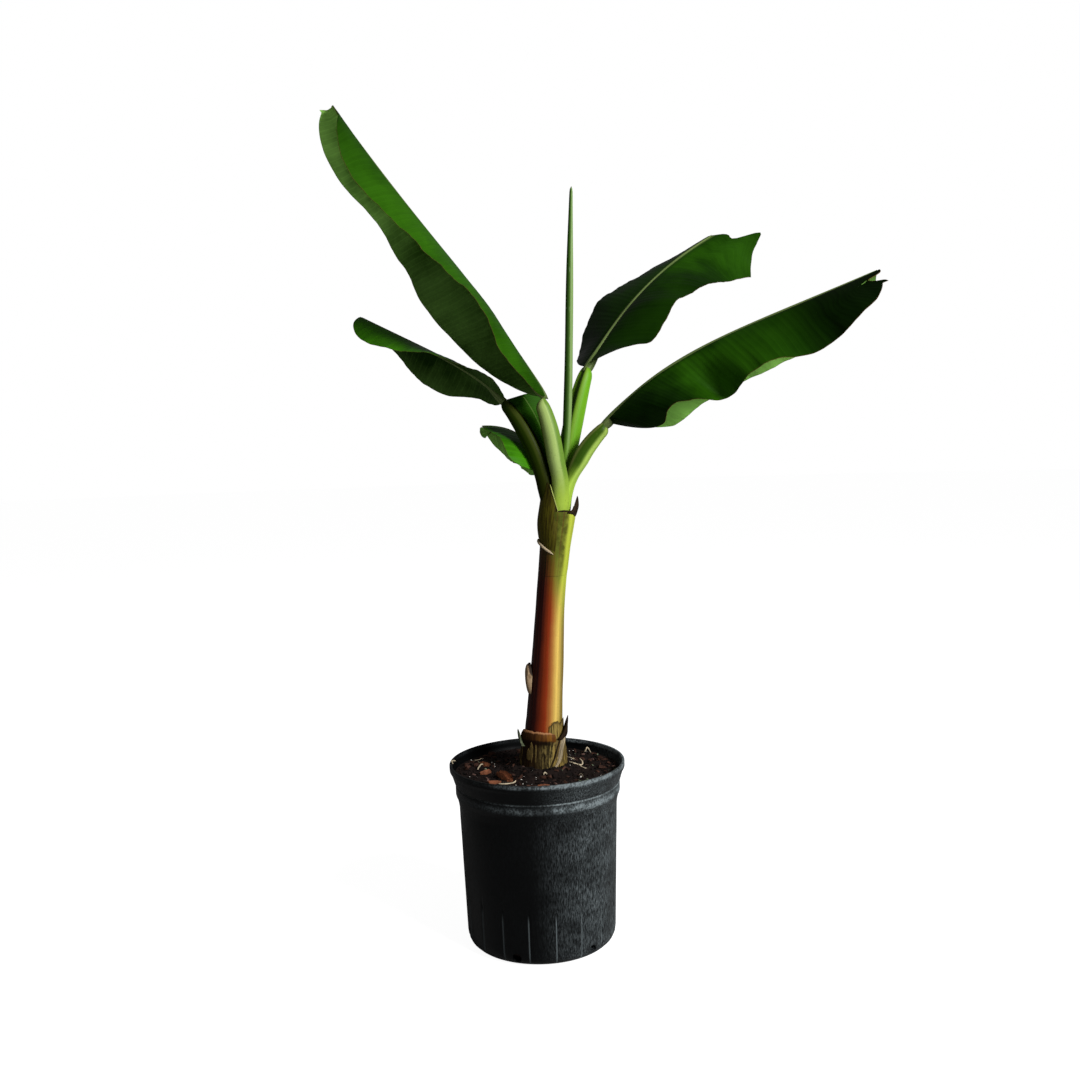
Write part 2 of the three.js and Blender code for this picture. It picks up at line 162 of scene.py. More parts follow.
# Sheaths on the stem: curved plates between two azimuths, where 180 is the left and 270 the front.
# bottom and top are heights that run evenly round the plate, off is how far its inner face stands
# off the stem and thick how thick it is from bottom to top, and ragged the depth of its torn edge.
SHEATHS = [
    {"node": "sheath_foot_front", "from": 156, "to": 304, "bottom": [230, 230],
     "top": [277, 283, 284, 283, 281], "off": [2.4, 2.4, 2.2, 1.8, 1.6, 1.6, 2.9, 3.2, 1.2],
     "thick": [1.4, 1.6, 1.0], "ragged": 1.6, "look": "band"},
    {"node": "sheath_foot_back", "from": 8, "to": 162, "bottom": [230, 230], "top": [284, 276, 282, 278],
     "off": [2.6, 2.4, 2.2, 2.0, 2.4], "thick": [1.6, 1.0], "ragged": 8, "look": "dry"},
    {"node": "sheath_spike_right", "from": 306, "to": 367, "bottom": [271, 269, 267, 267, 267],
     "top": [273, 280, 289, 300, 285], "off": [1.0, 1.4, 2.2, 4.2, 7.4], "thick": [2.0, 5.0, 5.0, 3.2, 0.7],
     "ragged": 0, "look": "dark"},
    {"node": "sheath_spike_left", "from": 168, "to": 216, "bottom": [263, 263],
     "top": [272, 281, 283, 275, 264], "off": [2.8, 3.4, 4.8, 6.6, 9.0], "thick": [2.4, 3.6, 3.6, 2.4, 0.7],
     "ragged": 0, "look": "moss"},
    {"node": "sheath_scale_left", "from": 152, "to": 216, "bottom": [331, 331],
     "top": [362, 369, 370, 367, 356], "off": [0, 0.3, 0.6],
     "thick": [0.6, 2.8, 4.6, 5.8, 6.0, 4.4], "ragged": 0.3, "look": "scale"},
    {"node": "sheath_collar_front", "from": 242, "to": 392, "bottom": [486, 486],
     "top": [566, 570, 571, 569, 566, 572, 574], "off": [0.0, 0.0, 0.1, 0.5, 1.2, 2.0, 2.6],
     "thick": [0.4, 1.0, 1.0, 0.8], "ragged": 1.2, "look": "girth"},
    {"node": "sheath_collar_left", "from": 104, "to": 272, "bottom": [546, 541, 536, 532, 529, 525, 520, 515],
     "top": [572, 580, 590, 600, 606, 606, 592, 569], "off": [0.4, 2.6, 3.6, 3.2, 2.4, 1.6, 1.2],
     "thick": [0.9, 1.2, 1.0], "ragged": 0.6, "look": "maroon"},
    {"node": "sheath_tip_right", "from": 300, "to": 372,
     "bottom": [566, 566, 565, 564, 562, 561, 561, 562, 565],
     "top": [568, 569, 571, 576, 583, 587, 588, 584, 572], "off": [2.6, 3.6, 4.2, 3.8, 2.8],
     "thick": [1.0, 1.6, 1.0], "ragged": 0.3, "look": "dark"},
]
WITHERED = (0.010, 0.006, 0.004)
# Narrow dry strips round the foot.
STRIP_COUNT = 46
STRIP_SEED = 5
# The fibrous dry sheath on the right of the foot.
FIBROUS_SHEATH = {
    "from": 287, "to": 372, "bottom": [230, 230], "top": [292, 297, 293, 297, 288],
    "off": [2.6, 2.4, 1.6, 1.2, 1.0, 0.9], "thick": [1.4, 1.4, 0.9], "ragged": 6,
}
# Thin margins as strands through points: azimuth, height and distance from the stem.
FOOT_MARGIN = [(-26, 276, 3.4), (-37, 267, 4.0), (-44, 257, 4.2), (-53, 243, 4.2), (-70, 232, 3.8)]
# A dark strand beside the foot margin stands in for the shadowed gap there: a painted shadow.
FOOT_GAP_SHADOW = [(-34, 278, 3.4), (-48, 267, 3.8), (-57, 256, 4.0), (-67, 243, 4.0), (-82, 232, 3.4)]
COLLAR_MARGIN = [(172, 533, 2.4), (196, 530, 2.8), (218, 526, 2.8), (240, 521, 2.8), (268, 514, 2.2)]
CROWN_MARGIN = [(-126, 605, 2.5), (-114, 594, 2.6), (-101, 581, 2.8), (-88, 567, 3.0)]
COLLAR_RIM = [(-94, 569.5, 2.8), (-70, 570, 3.2), (-45, 568.5, 3.4), (-20, 566.5, 3.6), (4, 566, 3.8)]

WHITE = (1.0, 1.0, 1.0, 1.0)

# Colour where a blade has dried at its edge.
DRY_EDGE = (0.10, 0.055, 0.02)
# How many fine veins stand between two side veins.
FINE_VEINS = 5.3


def both_halves(value):
    """The same value all along both halves of a blade."""
    return {"right": [value, value], "left": [value, value]}


# Leaves, from the crown. A midrib is a cubic curve, and each half blade hangs from it at the droop
# angles, which run evenly from foot to tip: 0 is flat and 90 hangs straight down. curl is how much
# more the margin droops than the base of the half, broad widens a half, and sweep is how far the
# veins lean to the tip. ends are the shares of the length that round off, start is where a blade
# that reaches back past its stalk begins, and reach is how far each half runs at the tip, from
# midrib to margin. lit is the share of the lighter green on the upper and the under side, and upper
# and under brighten those sides from foot to tip.
# lit, upper and under are set leaf by leaf partly as painted light and shade, after how lit each face of each
# leaf is.
LEAVES = [
    {"name": "leaf_tall",
     "midrib": [(-11, -16, 142), (-120, -35, 325), (-125, -36, 302), (-260, -59.5, 497)],
     "half_width": 65, "inset_depth": 4.6, "sweep": [12, 11], "ends": (0.16, 0.17), "tip_width": 0.265,
     "droop": {"right": [33, 48, 65, 76, 51, 43, 37, 55, 61], "left": [30, 26, 16, 21, 27, 31, 38, 39, 13]},
     "curl": both_halves(30),
     "broad": {"right": [1, 1, 1, 1, 1, 1, 0.94, 0.865, 0.95], "left": [1, 1]},
     "reach": {"right": [1, 1, 1, 1.003, 1.006], "left": [1, 0.995, 0.985, 0.975]},
     "rib_radius": (3.2, 1.2), "ripple": 1.0, "lit": (0.62, 0.28),
     "upper": [0.50, 0.72, 1.0, 0.75, 0.24], "under": [0.7, 0.8, 1.0, 2.2, 3.6],
     "stalk": {"foot": (3, -14), "radius": [8, 12, 8.6], "rise": 38, "run": 28, "lean": (-4.5, 0, -1)},
     "base": {"azimuth": -80, "half_width": 15, "low": -16, "ring": 14.4, "clear": 62}, "tone": "pale"},
    {"name": "leaf_long",
     "midrib": [(62, -9, 108), (145, -27, 196), (225, -44, 214), (393, -79, 279)],
     "half_width": 80, "inset_depth": 4.1, "sweep": [25, 10], "ends": (0.08, 0.18), "tip_width": 0.37,
     "droop": {"right": [75, 45, 53, 83, 54, 49, 61, 42, 40], "left": [61, 65, 57, 54, 53, 50, 46, 40, 34]},
     "curl": both_halves(30),
     "broad": both_halves(1),
     "reach": {"right": [1, 1.002, 1, 0.992, 0.968, 0.964, 0.974, 0.992, 0.997], "left": [1, 0.99, 0.98]},
     "rib_radius": (3.2, 1.2), "ripple": 1.4, "lit": (0.34, 0.85),
     "upper": [0.16, 0.28, 0.85, 0.11, 0.045], "under": [1.9, 1.8, 1.4, 1.0, 1.0],
     "stalk": {"foot": (16, -5), "radius": [8, 11.6, 8.4], "rise": 58, "run": 26},
     "base": {"azimuth": -14, "half_width": 14, "low": -16, "ring": 13.6, "clear": 62}, "tone": "green"},
    {"name": "leaf_upper",
     "midrib": [(43, 29, 183), (90, 66, 253), (133, 100, 310), (235, 179, 374)],
     "half_width": 77, "inset_depth": 3.4, "sweep": [11, 15, 19, 18, 8], "ends": (0.1, 0), "tip_width": 1,
     "droop": {"right": [-11, 14, 14, 11, 21, 29, 45, 58, 63], "left": [20, 18, 8, -1, 1, 7, 10, 16, 18]},
     "curl": {"right": [15, 30, 40, 40, 20], "left": [15, 15]},
     "broad": {"right": [1, 1, 1, 1, 1, 1, 1, 1, 1.10], "left": [0.55, 1, 1, 1, 1, 1, 1, 1, 1]},
     "reach": {"right": [1, 1.04, 1.045, 1.15, 1.115, 1.065, 1.03, 1.0, 0.972], "left": [1, 1.0, 0.98]},
     "rib_radius": (3, 1.6), "ripple": 0.9, "lit": (0.42, 0.30),
     "upper": [0.40, 0.26, 0.26, 0.60, 0.55], "under": [3.5, 3.5, 2.5, 1.5, 1.0],
     "stalk": {"foot": (6, 14), "radius": [8.5, 12.8, 8.0], "rise": 38, "run": 28},
     "base": {"azimuth": 52, "half_width": 16, "low": -16, "ring": 14, "clear": 62}, "tone": "fresh"},
    {"name": "leaf_left",
     "midrib": [(-66, 4, 142), (-111, 15, 186), (-154, 26, 204), (-253, 50, 257)],
     "half_width": 47, "inset_depth": 2.6, "sweep": [0, 11], "ends": (0.15, 0.16), "tip_width": 0.10,
     "droop": {"right": [30, 34, 48, 78, 75, 55, 30, 44], "left": [-20, -20, -8, -5, 5, 20, 31, 28]},
     "curl": both_halves(25),
     "broad": both_halves(1),
     "reach": both_halves(1),
     "rib_radius": (2.6, 1.1), "ripple": 1.0, "lit": (0.45, 0.15),
     "upper": [0.75, 1.7, 2.3, 2.0, 1.6], "under": [0.9, 0.7, 0.6, 0.8, 1.6],
     "stalk": {"foot": (-14.5, -4), "radius": [9.5, 11.2, 6.6], "rise": 66, "run": 24},
     "base": {"azimuth": 204, "half_width": 13, "low": -30, "ring": 16.4, "clear": 26}, "tone": "olive"},
    {"name": "leaf_small",
     "midrib": [(-33, 28, 80), (-48, 48, 101), (-72, 78, 110), (-101, 115, 110)],
     "half_width": 50, "inset_depth": 1.8, "sweep": [10, 0], "ends": (0.12, 0.40),
     "start": -0.46, "tip_width": 0.26,
     "droop": {"right": [80, 76, 72, 70, 70], "left": [-10, -6, 0, 45, 85]},
     "curl": both_halves(20),
     "broad": {"right": [1, 1, 1.04, 1.12, 1.1], "left": [1, 1, 0.9, 0.5, 0.2]},
     "reach": {"right": [1, 1.01, 1.02], "left": [1, 0.84, 0.74]},
     "rib_radius": (2.2, 1.2), "ripple": 0.8, "lit": (0.35, 0.25),
     "upper": [2.8, 1.6, 1.3], "under": [3.2, 2.8, 2.2],
     "stalk": {"foot": (-8, 13), "radius": [6.6, 6, 4.2], "rise": 38, "run": 28},
     "base": {"azimuth": 122, "half_width": 14, "low": -16, "ring": 14, "clear": 62}, "tone": "olive"},
]
CLEARANCE = 0.5
BLADE_ROWS = 150
HALF_COLUMNS = 26
LEAST_WIDTH = 0.05
# Length of a ripple, and length and depth of the fine pleats.
RIPPLE_LENGTH = 58.0
PLEAT_LENGTH = 11.6
PLEAT_DEPTH = 0.22

# The stalk's foot takes up the first share of its rows. Its channel and the two wings beside it are
# shares of the radius. The foot wraps round the crown over a run, and leans as the crown does.
FOOT_SHARE = 0.1
CHANNEL_DEPTH = 0.42
WING_RISE = 0.10
WING_PLACE = 0.72
WING_SPREAD = 0.16
WRAP_RUN = 58.0
WRAP_THICKNESS = 6.4
CROWN_LEAN = 0.12
# How far a midrib starts inside its stalk, and inside one that leans.
RIB_START = 12.0
RIB_START_LEANING = 3.0

# Stalk colours: flank, under side, upper margins and base. They are set stalk by stalk partly as painted
# light and shade: the olive stalks are darkened as painted shade, and the under sides are pale where they
# face the light and dark where they face away.
STALK_TONES = {
    "pale": ((0.33, 0.45, 0.13), (0.060, 0.090, 0.006), (0.12, 0.22, 0.028), (0.29, 0.42, 0.045)),
    "green": ((0.030, 0.080, 0.002), (0.34, 0.50, 0.09), (0.14, 0.17, 0.04), (0.34, 0.52, 0.05)),
    "fresh": ((0.13, 0.34, 0.012), (0.20, 0.42, 0.05), (0.17, 0.33, 0.025), (0.24, 0.42, 0.03)),
    "olive": ((0.012, 0.025, 0.0006), (0.034, 0.054, 0.004), (0.030, 0.042, 0.005), (0.013, 0.016, 0.001)),
}

# The folded lobe beside the left leaf's stalk, from and to these shares of the stalk. Its tone darkens its
# upper face, partly as painted shade between the stalks.
LOBE = {"tone": 0.45, "from": 0.16, "to": 0.97, "width": 42, "droop": -68, "curl": 24, "sweep": -22}

# The rolled new leaf: its curve from the crown, and its radii from foot to tip.
SPEAR_CURVE = [(1, 3, 0.9), (20, 4, 90), (18, 0, 200), (28.4, 0, 407)]
SPEAR_RADII = [2.4, 4.4, 5.6, 5.2, 4.6, 2]
SPEAR_SEAM_AZIMUTH = -84.0
SPEAR_ROLL = 0.16

# Camera, from the photograph: its place, its downward pitch and its roll.
PHOTO_SIDE = 1080.0
FOCAL_LENGTH_PIXELS = 1100.0
SENSOR_WIDTH = 36.0
CAMERA_PLACE = Vector((13.0, -1431.0, 652.0))
CAMERA_PITCH = 4.8
CAMERA_ROLL = 1.75

# Stage, in metres: the floor, and each light's place and size.
FLOOR_RADIUS = 20.0
FLOOR_DROP = 0.0002
LIGHT_TARGET = Vector((0.0, 0.0, 0.6))
KEY_LIGHT = (Vector((1.5, -1.45, 1.55)), 0.8)
FRONT_LIGHT = (Vector((-1.2, -2.0, 1.2)), 1.6)


# Settings

def colour_setting(name, description, default):
    return bpy.props.FloatVectorProperty(
        name=name, description=description, subtype="COLOR", size=3, min=0.0, max=1.0, default=default
    )


def number_setting(name, description, default, **kind):
    return bpy.props.FloatProperty(name=name, description=description, default=default, min=0.0, **kind)


def count_setting(name, description, default):
    return bpy.props.IntProperty(name=name, description=description, default=default, min=0)


class PotSettings(bpy.types.PropertyGroup):
    colour: colour_setting("Plastic", "Colour of the pot's clean plastic", (0.0010, 0.0012, 0.0013))
    # The scuff colour also paints the sheen and highlights on the pot's lit side.
    scuff_and_sheen_colour: colour_setting("Scuffs", "Colour of worn and dusty plastic", (0.17, 0.20, 0.21))
    groove_count: count_setting("Grooves", "Upright grooves round the lower wall", 18)
    groove_depth: number_setting("Groove depth", "Depth of each upright groove", 0.0012, unit="LENGTH")
    groove_top: number_setting("Groove height", "Height at which the grooves end", 0.082, unit="LENGTH")


class SoilSettings(bpy.types.PropertyGroup):
    colour: colour_setting("Mix", "Colour of the damp potting mix", (0.0095, 0.0052, 0.0042))
    bark_colour: colour_setting("Bark", "Colour of the bark chips", (0.045, 0.019, 0.012))
    faded_colour: colour_setting("Faded bark", "Colour of the faded chips", (0.115, 0.064, 0.052))
    fresh_colour: colour_setting("Fresh bark", "Colour of the large pieces of bark", (0.17, 0.058, 0.026))
    perlite_colour: colour_setting("Perlite", "Colour of the white mineral bits", (0.62, 0.60, 0.54))
    root_colour: colour_setting("Roots", "Colour of the pale dry rootlets", (0.50, 0.42, 0.29))
    scrap_colour: colour_setting("Scraps", "Colour of the grey-green leaf scraps", (0.13, 0.16, 0.10))
    grain_count: count_setting("Grains", "Dark crumbs on the surface", 1500)
    chip_count: count_setting("Chips", "Bark chips on the surface", 120)
    seed: count_setting("Seed", "Seed of the scattered bits", 11)


class StemSettings(bpy.types.PropertyGroup):
    shade_colour: colour_setting("Maroon", "Near-black maroon of the left side", (0.020, 0.0028, 0.0024))
    red_colour: colour_setting("Red", "Red-brown of the front", (0.24, 0.028, 0.004))
    # The golden strip is partly a painted highlight where the light falls.
    gold_and_highlight_colour: colour_setting("Gold", "Golden strip on the right front", (0.66, 0.45, 0.10))
    side_colour: colour_setting("Right side", "Olive gold of the right side", (0.20, 0.145, 0.03))
    olive_colour: colour_setting("Olive", "Dark olive of the upper left", (0.045, 0.042, 0.006))
    green_colour: colour_setting("Green", "Yellow-green of the upper right", (0.40, 0.47, 0.045))
    dry_colour: colour_setting("Dry sheath", "Tan of the dry sheaths", (0.16, 0.11, 0.035))
    pale_colour: colour_setting("Pale margin", "Straw of the torn pale margins", (0.54, 0.43, 0.27))
    fibre_depth: number_setting("Fibre depth", "Height of the lengthwise fibres", 0.00018, unit="LENGTH")


class LeafSettings(bpy.types.PropertyGroup):
    upper_dark: colour_setting("Upper dark", "Deep green of the upper side", (0.0045, 0.027, 0.0004))
    upper_light: colour_setting("Upper light", "Brighter green of the upper side", (0.032, 0.135, 0.0030))
    under_dark: colour_setting("Under dark", "Green of the under side by the midrib", (0.011, 0.042, 0.0004))
    under_light: colour_setting("Under light", "Pale green of the under side", (0.140, 0.300, 0.055))
    rib_colour: colour_setting("Midrib", "Pale green of midribs and stalks", (0.46, 0.62, 0.19))
    thickness: number_setting("Thickness", "Thickness of the blade at its midrib", 0.0011, unit="LENGTH")
    vein_spacing: number_setting("Vein spacing", "Distance between two side veins", 0.0058, unit="LENGTH")
    ripple: number_setting("Ripple", "How strongly the margins ripple", 1.0, subtype="FACTOR")


class StageSettings(bpy.types.PropertyGroup):
    floor_colour: colour_setting("Floor", "Colour of the pale floor", (0.45, 0.45, 0.45))
    floor_glow: number_setting("Floor glow", "How far the floor fades into the white backdrop", 0.93)
    key_power: number_setting("Key light", "Power of the large light on the right", 70.0, unit="POWER")
    front_power: number_setting("Front light", "Power of the soft front light", 4.0, unit="POWER")
    sky: number_setting("Surroundings", "Brightness of the soft light from all round", 0.13)


# Numbers and curves

def through(values, share):
    """A value between evenly spaced ones, on a smooth curve through them."""
    last = len(values) - 1
    place = min(max(share, 0.0), 1.0) * last
    index = min(int(place), last - 1)
    rest = place - index
    start = values[index]
    end = values[index + 1]
    before = values[index - 1] if index > 0 else 2 * start - end
    after = values[index + 2] if index + 2 <= last else 2 * end - start
    linear = end - before
    square = 2 * before - 5 * start + 4 * end - after
    cube = 3 * start - before - 3 * end + after
    return 0.5 * (2 * start + linear * rest + square * rest**2 + cube * rest**3)


def between(pair, share):
    return pair[0] + (pair[1] - pair[0]) * share


def smooth_step(low, high, value):
    share = min(max((value - low) / (high - low), 0.0), 1.0)
    return share * share * (3 - 2 * share)


def rounded_ends(share, ends):
    """The share of the full width that is left where a shape rounds off at its foot and tip."""
    width = 1.0
    for distance, reach in ((share, ends[0]), (1 - share, ends[1])):
        if reach > 0 and distance < reach:
            width *= math.sqrt(max(0.0, 1 - (1 - distance / reach) ** 2))
    return width


def closer_at_ends(share):
    return (1 - math.cos(math.pi * share)) / 2


class Cubic:
    """A cubic curve in space from four control points."""

    def __init__(self, points):
        self.points = [Vector(point) for point in points]

    def at(self, share):
        start, first, second, end = self.points
        rest = 1 - share
        return (
            start * rest**3
            + first * (3 * rest * rest * share)
            + second * (3 * rest * share * share)
            + end * share**3
        )

    def heading(self, share):
        step = 0.001
        return (self.at(share + step) - self.at(share - step)).normalized()

    def length(self):
        stops = [self.at(step / 40) for step in range(41)]
        return sum((b - a).length for a, b in zip(stops, stops[1:]))


def frame_at(curve, share):
    """Where a curve runs: its centre, ahead, sideways to the right, and towards its underside."""
    ahead = curve.heading(share)
    right = ahead.cross(UP).normalized()
    return curve.at(share), ahead, right, ahead.cross(right)


def stem_at(height):
    """The stem's place along X and its radius at a height."""
    last = len(STEM_PROFILE) - 1
    index = 0
    while index < last - 1 and height > STEM_PROFILE[index + 1][0]:
        index += 1
    low = STEM_PROFILE[index][0]
    high = STEM_PROFILE[index + 1][0]
    share = (index + (height - low) / (high - low)) / last
    _, places, radii = zip(*STEM_PROFILE)
    return through(places, share), through(radii, share)


def on_stem(height, azimuth, standoff):
    centre, radius = stem_at(height)
    reach = radius + standoff
    return Vector((centre + reach * math.cos(azimuth), reach * math.sin(azimuth), height))


# Meshes

def finish_piece(name, mesh, materials, nodes=()):
    """Turns a bmesh in millimetres into a smooth object that rides on the plant's one body."""
    bmesh.ops.scale(mesh, vec=(MM, MM, MM), verts=mesh.verts)
    bmesh.ops.recalc_face_normals(mesh, faces=mesh.faces)
    data = bpy.data.meshes.new(name)
    mesh.to_mesh(data)
    mesh.free()
    for material in materials:
        data.materials.append(material)
    data.shade_smooth()
    data.set_sharp_from_angle(angle=math.radians(50))
    piece = bpy.data.objects.new(name, data)
    bpy.context.scene.collection.objects.link(piece)
    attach(piece, "root")
    if nodes:
        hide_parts(*nodes)
    return piece


def add_grid(mesh, rows, columns):
    """A grid whose corners run from 0 to 1 both ways, with a map of the same numbers."""
    made = bmesh.ops.create_grid(mesh, x_segments=rows, y_segments=columns, size=0.5)
    bmesh.ops.translate(mesh, verts=made["verts"], vec=(0.5, 0.5, 0.0))
    layer = mesh.loops.layers.uv.get("surface") or mesh.loops.layers.uv.new("surface")
    faces = {face for corner in made["verts"] for face in corner.link_faces}
    for face in faces:
        for loop in face.loops:
            loop[layer].uv = (loop.vert.co.x, loop.vert.co.y)
    return made["verts"], list(faces)


def add_plate(mesh, rows, columns, place):
    """A thin closed plate. place gives each corner from its shares along, across and through."""
    corners, faces = add_grid(mesh, rows, columns)
    made = bmesh.ops.extrude_face_region(mesh, geom=faces)
    lifted = [item for item in made["geom"] if isinstance(item, bmesh.types.BMVert)]
    under = [item for item in made["geom"] if isinstance(item, bmesh.types.BMFace)]
    bmesh.ops.translate(mesh, verts=lifted, vec=(0.0, 0.0, 1.0))
    for face in under:
        face.material_index = 1
    for corner in [*corners, *lifted]:
        corner.co = place(corner.co.x, corner.co.y, corner.co.z)


def add_tube(mesh, rows, columns, place):
    """A tube with closed ends. place gives each corner from its share along and its turn."""
    corners, _ = add_grid(mesh, rows, columns)
    for corner in corners:
        corner.co = place(corner.co.x, corner.co.y * math.tau)
    bmesh.ops.remove_doubles(mesh, verts=corners, dist=0.002)
    rims = [edge for edge in mesh.edges if edge.is_boundary]
    if rims:
        bmesh.ops.holes_fill(mesh, edges=rims, sides=0)


def grown(add, *details):
    """A new mesh with one plate, tube or strand."""
    mesh = bmesh.new()
    add(mesh, *details)
    return mesh


def turned_mesh(profile, steps):
    """A solid of revolution about Z from a profile of radius and height."""
    mesh = bmesh.new()
    corners = [mesh.verts.new((radius, 0.0, height)) for radius, height in profile]
    edges = [mesh.edges.new(pair) for pair in zip(corners, corners[1:])]
    bmesh.ops.spin(
        mesh, geom=[*corners, *edges], cent=(0, 0, 0), axis=UP, angle=math.tau, steps=steps, use_merge=True
    )
    bmesh.ops.remove_doubles(mesh, verts=mesh.verts[:], dist=0.001)
    return mesh


def rounded_profile(points, longest):
    """Rounds the corners of a profile, each by its own length, and splits its long stretches."""
    outline = []
    for index, (radius, height, cut) in enumerate(points):
        corner = Vector((radius, height))
        if cut == 0 or index in (0, len(points) - 1):
            outline.append(corner)
            continue
        before = Vector(points[index - 1][:2])
        after = Vector(points[index + 1][:2])
        start = corner + (before - corner).normalized() * cut
        end = corner + (after - corner).normalized() * cut
        for step in range(6):
            share = step / 5
            outline.append(start * (1 - share) ** 2 + corner * (2 * share * (1 - share)) + end * share**2)
    split = [outline[0]]
    for start, end in zip(outline, outline[1:]):
        pieces = max(1, math.ceil((end - start).length / longest))
        split.extend(start.lerp(end, step / pieces) for step in range(1, pieces + 1))
    return [(point.x, point.y) for point in split]


FEWEST_FACES = 100


def cut_out(piece, cutter_mesh):
    """Cuts the shape of a bmesh in millimetres out of a finished piece."""
    bmesh.ops.scale(cutter_mesh, vec=(MM, MM, MM), verts=cutter_mesh.verts)
    data = bpy.data.meshes.new("cutter")
    cutter_mesh.to_mesh(data)
    cutter_mesh.free()
    cutter = bpy.data.objects.new("cutter", data)
    bpy.context.scene.collection.objects.link(cutter)
    modifier = piece.modifiers.new("cut", "BOOLEAN")
    modifier.object = cutter
    modifier.solver = "EXACT"
    whole = piece.evaluated_get(bpy.context.evaluated_depsgraph_get())
    cut = bpy.data.meshes.new_from_object(whole)
    piece.modifiers.remove(modifier)
    piece.data = cut
    bpy.data.objects.remove(cutter)
    if len(cut.polygons) < FEWEST_FACES:
        raise RuntimeError(f"{piece.name} was lost when it was cut")


# Shader nodes

class Signal:
    """The output of a shader node, which is added, scaled and mixed like a number."""

    def __init__(self, socket):
        self.socket = socket
        self.tree = socket.id_data

    def maths(self, operation, second=0.0, clamp=False):
        inputs = {0: self, 1: second}
        return add_signal(self.tree, "ShaderNodeMath", 0, inputs, operation=operation, use_clamp=clamp)

    def __add__(self, other):
        return self.maths("ADD", other)

    def __sub__(self, other):
        return self.maths("SUBTRACT", other)

    def __mul__(self, other):
        return self.maths("MULTIPLY", other)

    def __abs__(self):
        return self.maths("ABSOLUTE")

    def apart(self):
        """The three numbers of a vector."""
        outputs = add_node(self.tree, "ShaderNodeSeparateXYZ", {"Vector": self}).outputs
        return [Signal(socket) for socket in outputs]

    def ranged(self, low, high, to_low=0.0, to_high=1.0):
        """Runs smoothly from to_low to to_high as the number runs from low to high."""
        inputs = {"Value": self, "From Min": low, "From Max": high, "To Min": to_low, "To Max": to_high}
        return add_signal(self.tree, "ShaderNodeMapRange", "Result", inputs, interpolation_type="SMOOTHSTEP")

    def speckle(self, scale, detail=3.0, roughness=0.55):
        """Noise at the place that the vector gives."""
        inputs = {"Vector": self, "Scale": scale, "Detail": detail, "Roughness": roughness}
        return add_signal(self.tree, "ShaderNodeTexNoise", "Fac", inputs)

    def mixed(self, first, second):
        """A colour between two others, by the share that the number gives."""
        inputs = {0: self, 6: opaque(first), 7: opaque(second)}
        return add_signal(self.tree, "ShaderNodeMix", 2, inputs, data_type="RGBA", clamp_factor=True)

    def ramp(self, stops):
        """A colour from a smooth row of (place, colour) stops."""
        made = add_node(self.tree, "ShaderNodeValToRGB", {"Fac": self})
        bands = made.color_ramp.elements
        while len(bands) < len(stops):
            bands.new(1.0)
        for band, (place, colour) in zip(bands, stops):
            band.position = place
            band.color = opaque(colour)
        return Signal(made.outputs["Color"])


def opaque(colour):
    """A colour with its alpha. A signal stays as it is."""
    return colour if isinstance(colour, Signal) else (*colour[:3], 1.0)


def plug(tree, socket, value):
    """Sets an input from a signal, a number or a colour."""
    if isinstance(value, Signal):
        tree.links.new(value.socket, socket)
    else:
        socket.default_value = value


def add_node(tree, kind, inputs=None, **settings):
    made = tree.nodes.new(kind)
    for key, value in settings.items():
        setattr(made, key, value)
    for key, value in (inputs or {}).items():
        plug(tree, made.inputs[key], value)
    return made


def add_signal(tree, kind, output, inputs=None, **settings):
    return Signal(add_node(tree, kind, inputs, **settings).outputs[output])


def new_group(name, **inputs):
    """A shader node group and its inputs, of which those without a number are vectors."""
    group = bpy.data.node_groups.new(name, "ShaderNodeTree")
    for label, number in inputs.items():
        kind = "NodeSocketVector" if number is None else "NodeSocketFloat"
        socket = group.interface.new_socket(label, in_out="INPUT", socket_type=kind)
        if number is not None:
            socket.default_value = number
    entry = group.nodes.new("NodeGroupInput").outputs
    return group, [Signal(entry[label]) for label in inputs]


def close_group(group, **outputs):
    for label in outputs:
        group.interface.new_socket(label, in_out="OUTPUT", socket_type="NodeSocketFloat")
    add_node(group, "NodeGroupOutput", outputs)


def placed_group(name, inputs):
    """Places a node group where its first input comes from, and gives its outputs by name."""
    tree = next(iter(inputs.values())).tree
    placed = tree.nodes.new("ShaderNodeGroup")
    placed.node_tree = bpy.data.node_groups[name]
    for key, value in inputs.items():
        plug(tree, placed.inputs[key], value)
    return {socket.name: Signal(socket) for socket in placed.outputs}


def build_side_veins():
    """Parallel side veins: a line mask, a height, and a slow change of tone from vein to vein."""
    group, (leaf_map, count) = new_group("side veins", Map=None, Count=80.0)
    along, across, _ = leaf_map.apart()
    turns = (along + leaf_map.speckle(3.0, detail=1.0) * 0.012) * count
    wave = (turns * math.tau).maths("SINE")
    fine = (turns * (FINE_VEINS * math.tau)).maths("SINE")
    stretched = add_signal(group, "ShaderNodeCombineXYZ", 0, {"X": turns, "Y": across})
    tone = stretched.speckle(0.9, detail=2.0)
    close_group(group, Line=wave.ranged(0.72, 1.0), Height=wave + fine * 0.25, Tone=tone)


def build_fibres():
    """Lengthwise fibres from a map whose first number runs along them and whose second runs round."""
    group, (fibre_map, around, along) = new_group("fibres", Map=None, Around=40.0, Along=3.0)
    rise, turn, _ = fibre_map.apart()
    turn = turn * math.tau
    inputs = {"X": turn.maths("COSINE") * around, "Y": turn.maths("SINE") * around, "Z": rise * along}
    ring = add_signal(group, "ShaderNodeCombineXYZ", 0, inputs)
    broad = ring.speckle(0.35)
    close_group(group, Streak=broad, Height=broad + ring.speckle(1.3, detail=2.0) * 0.5)


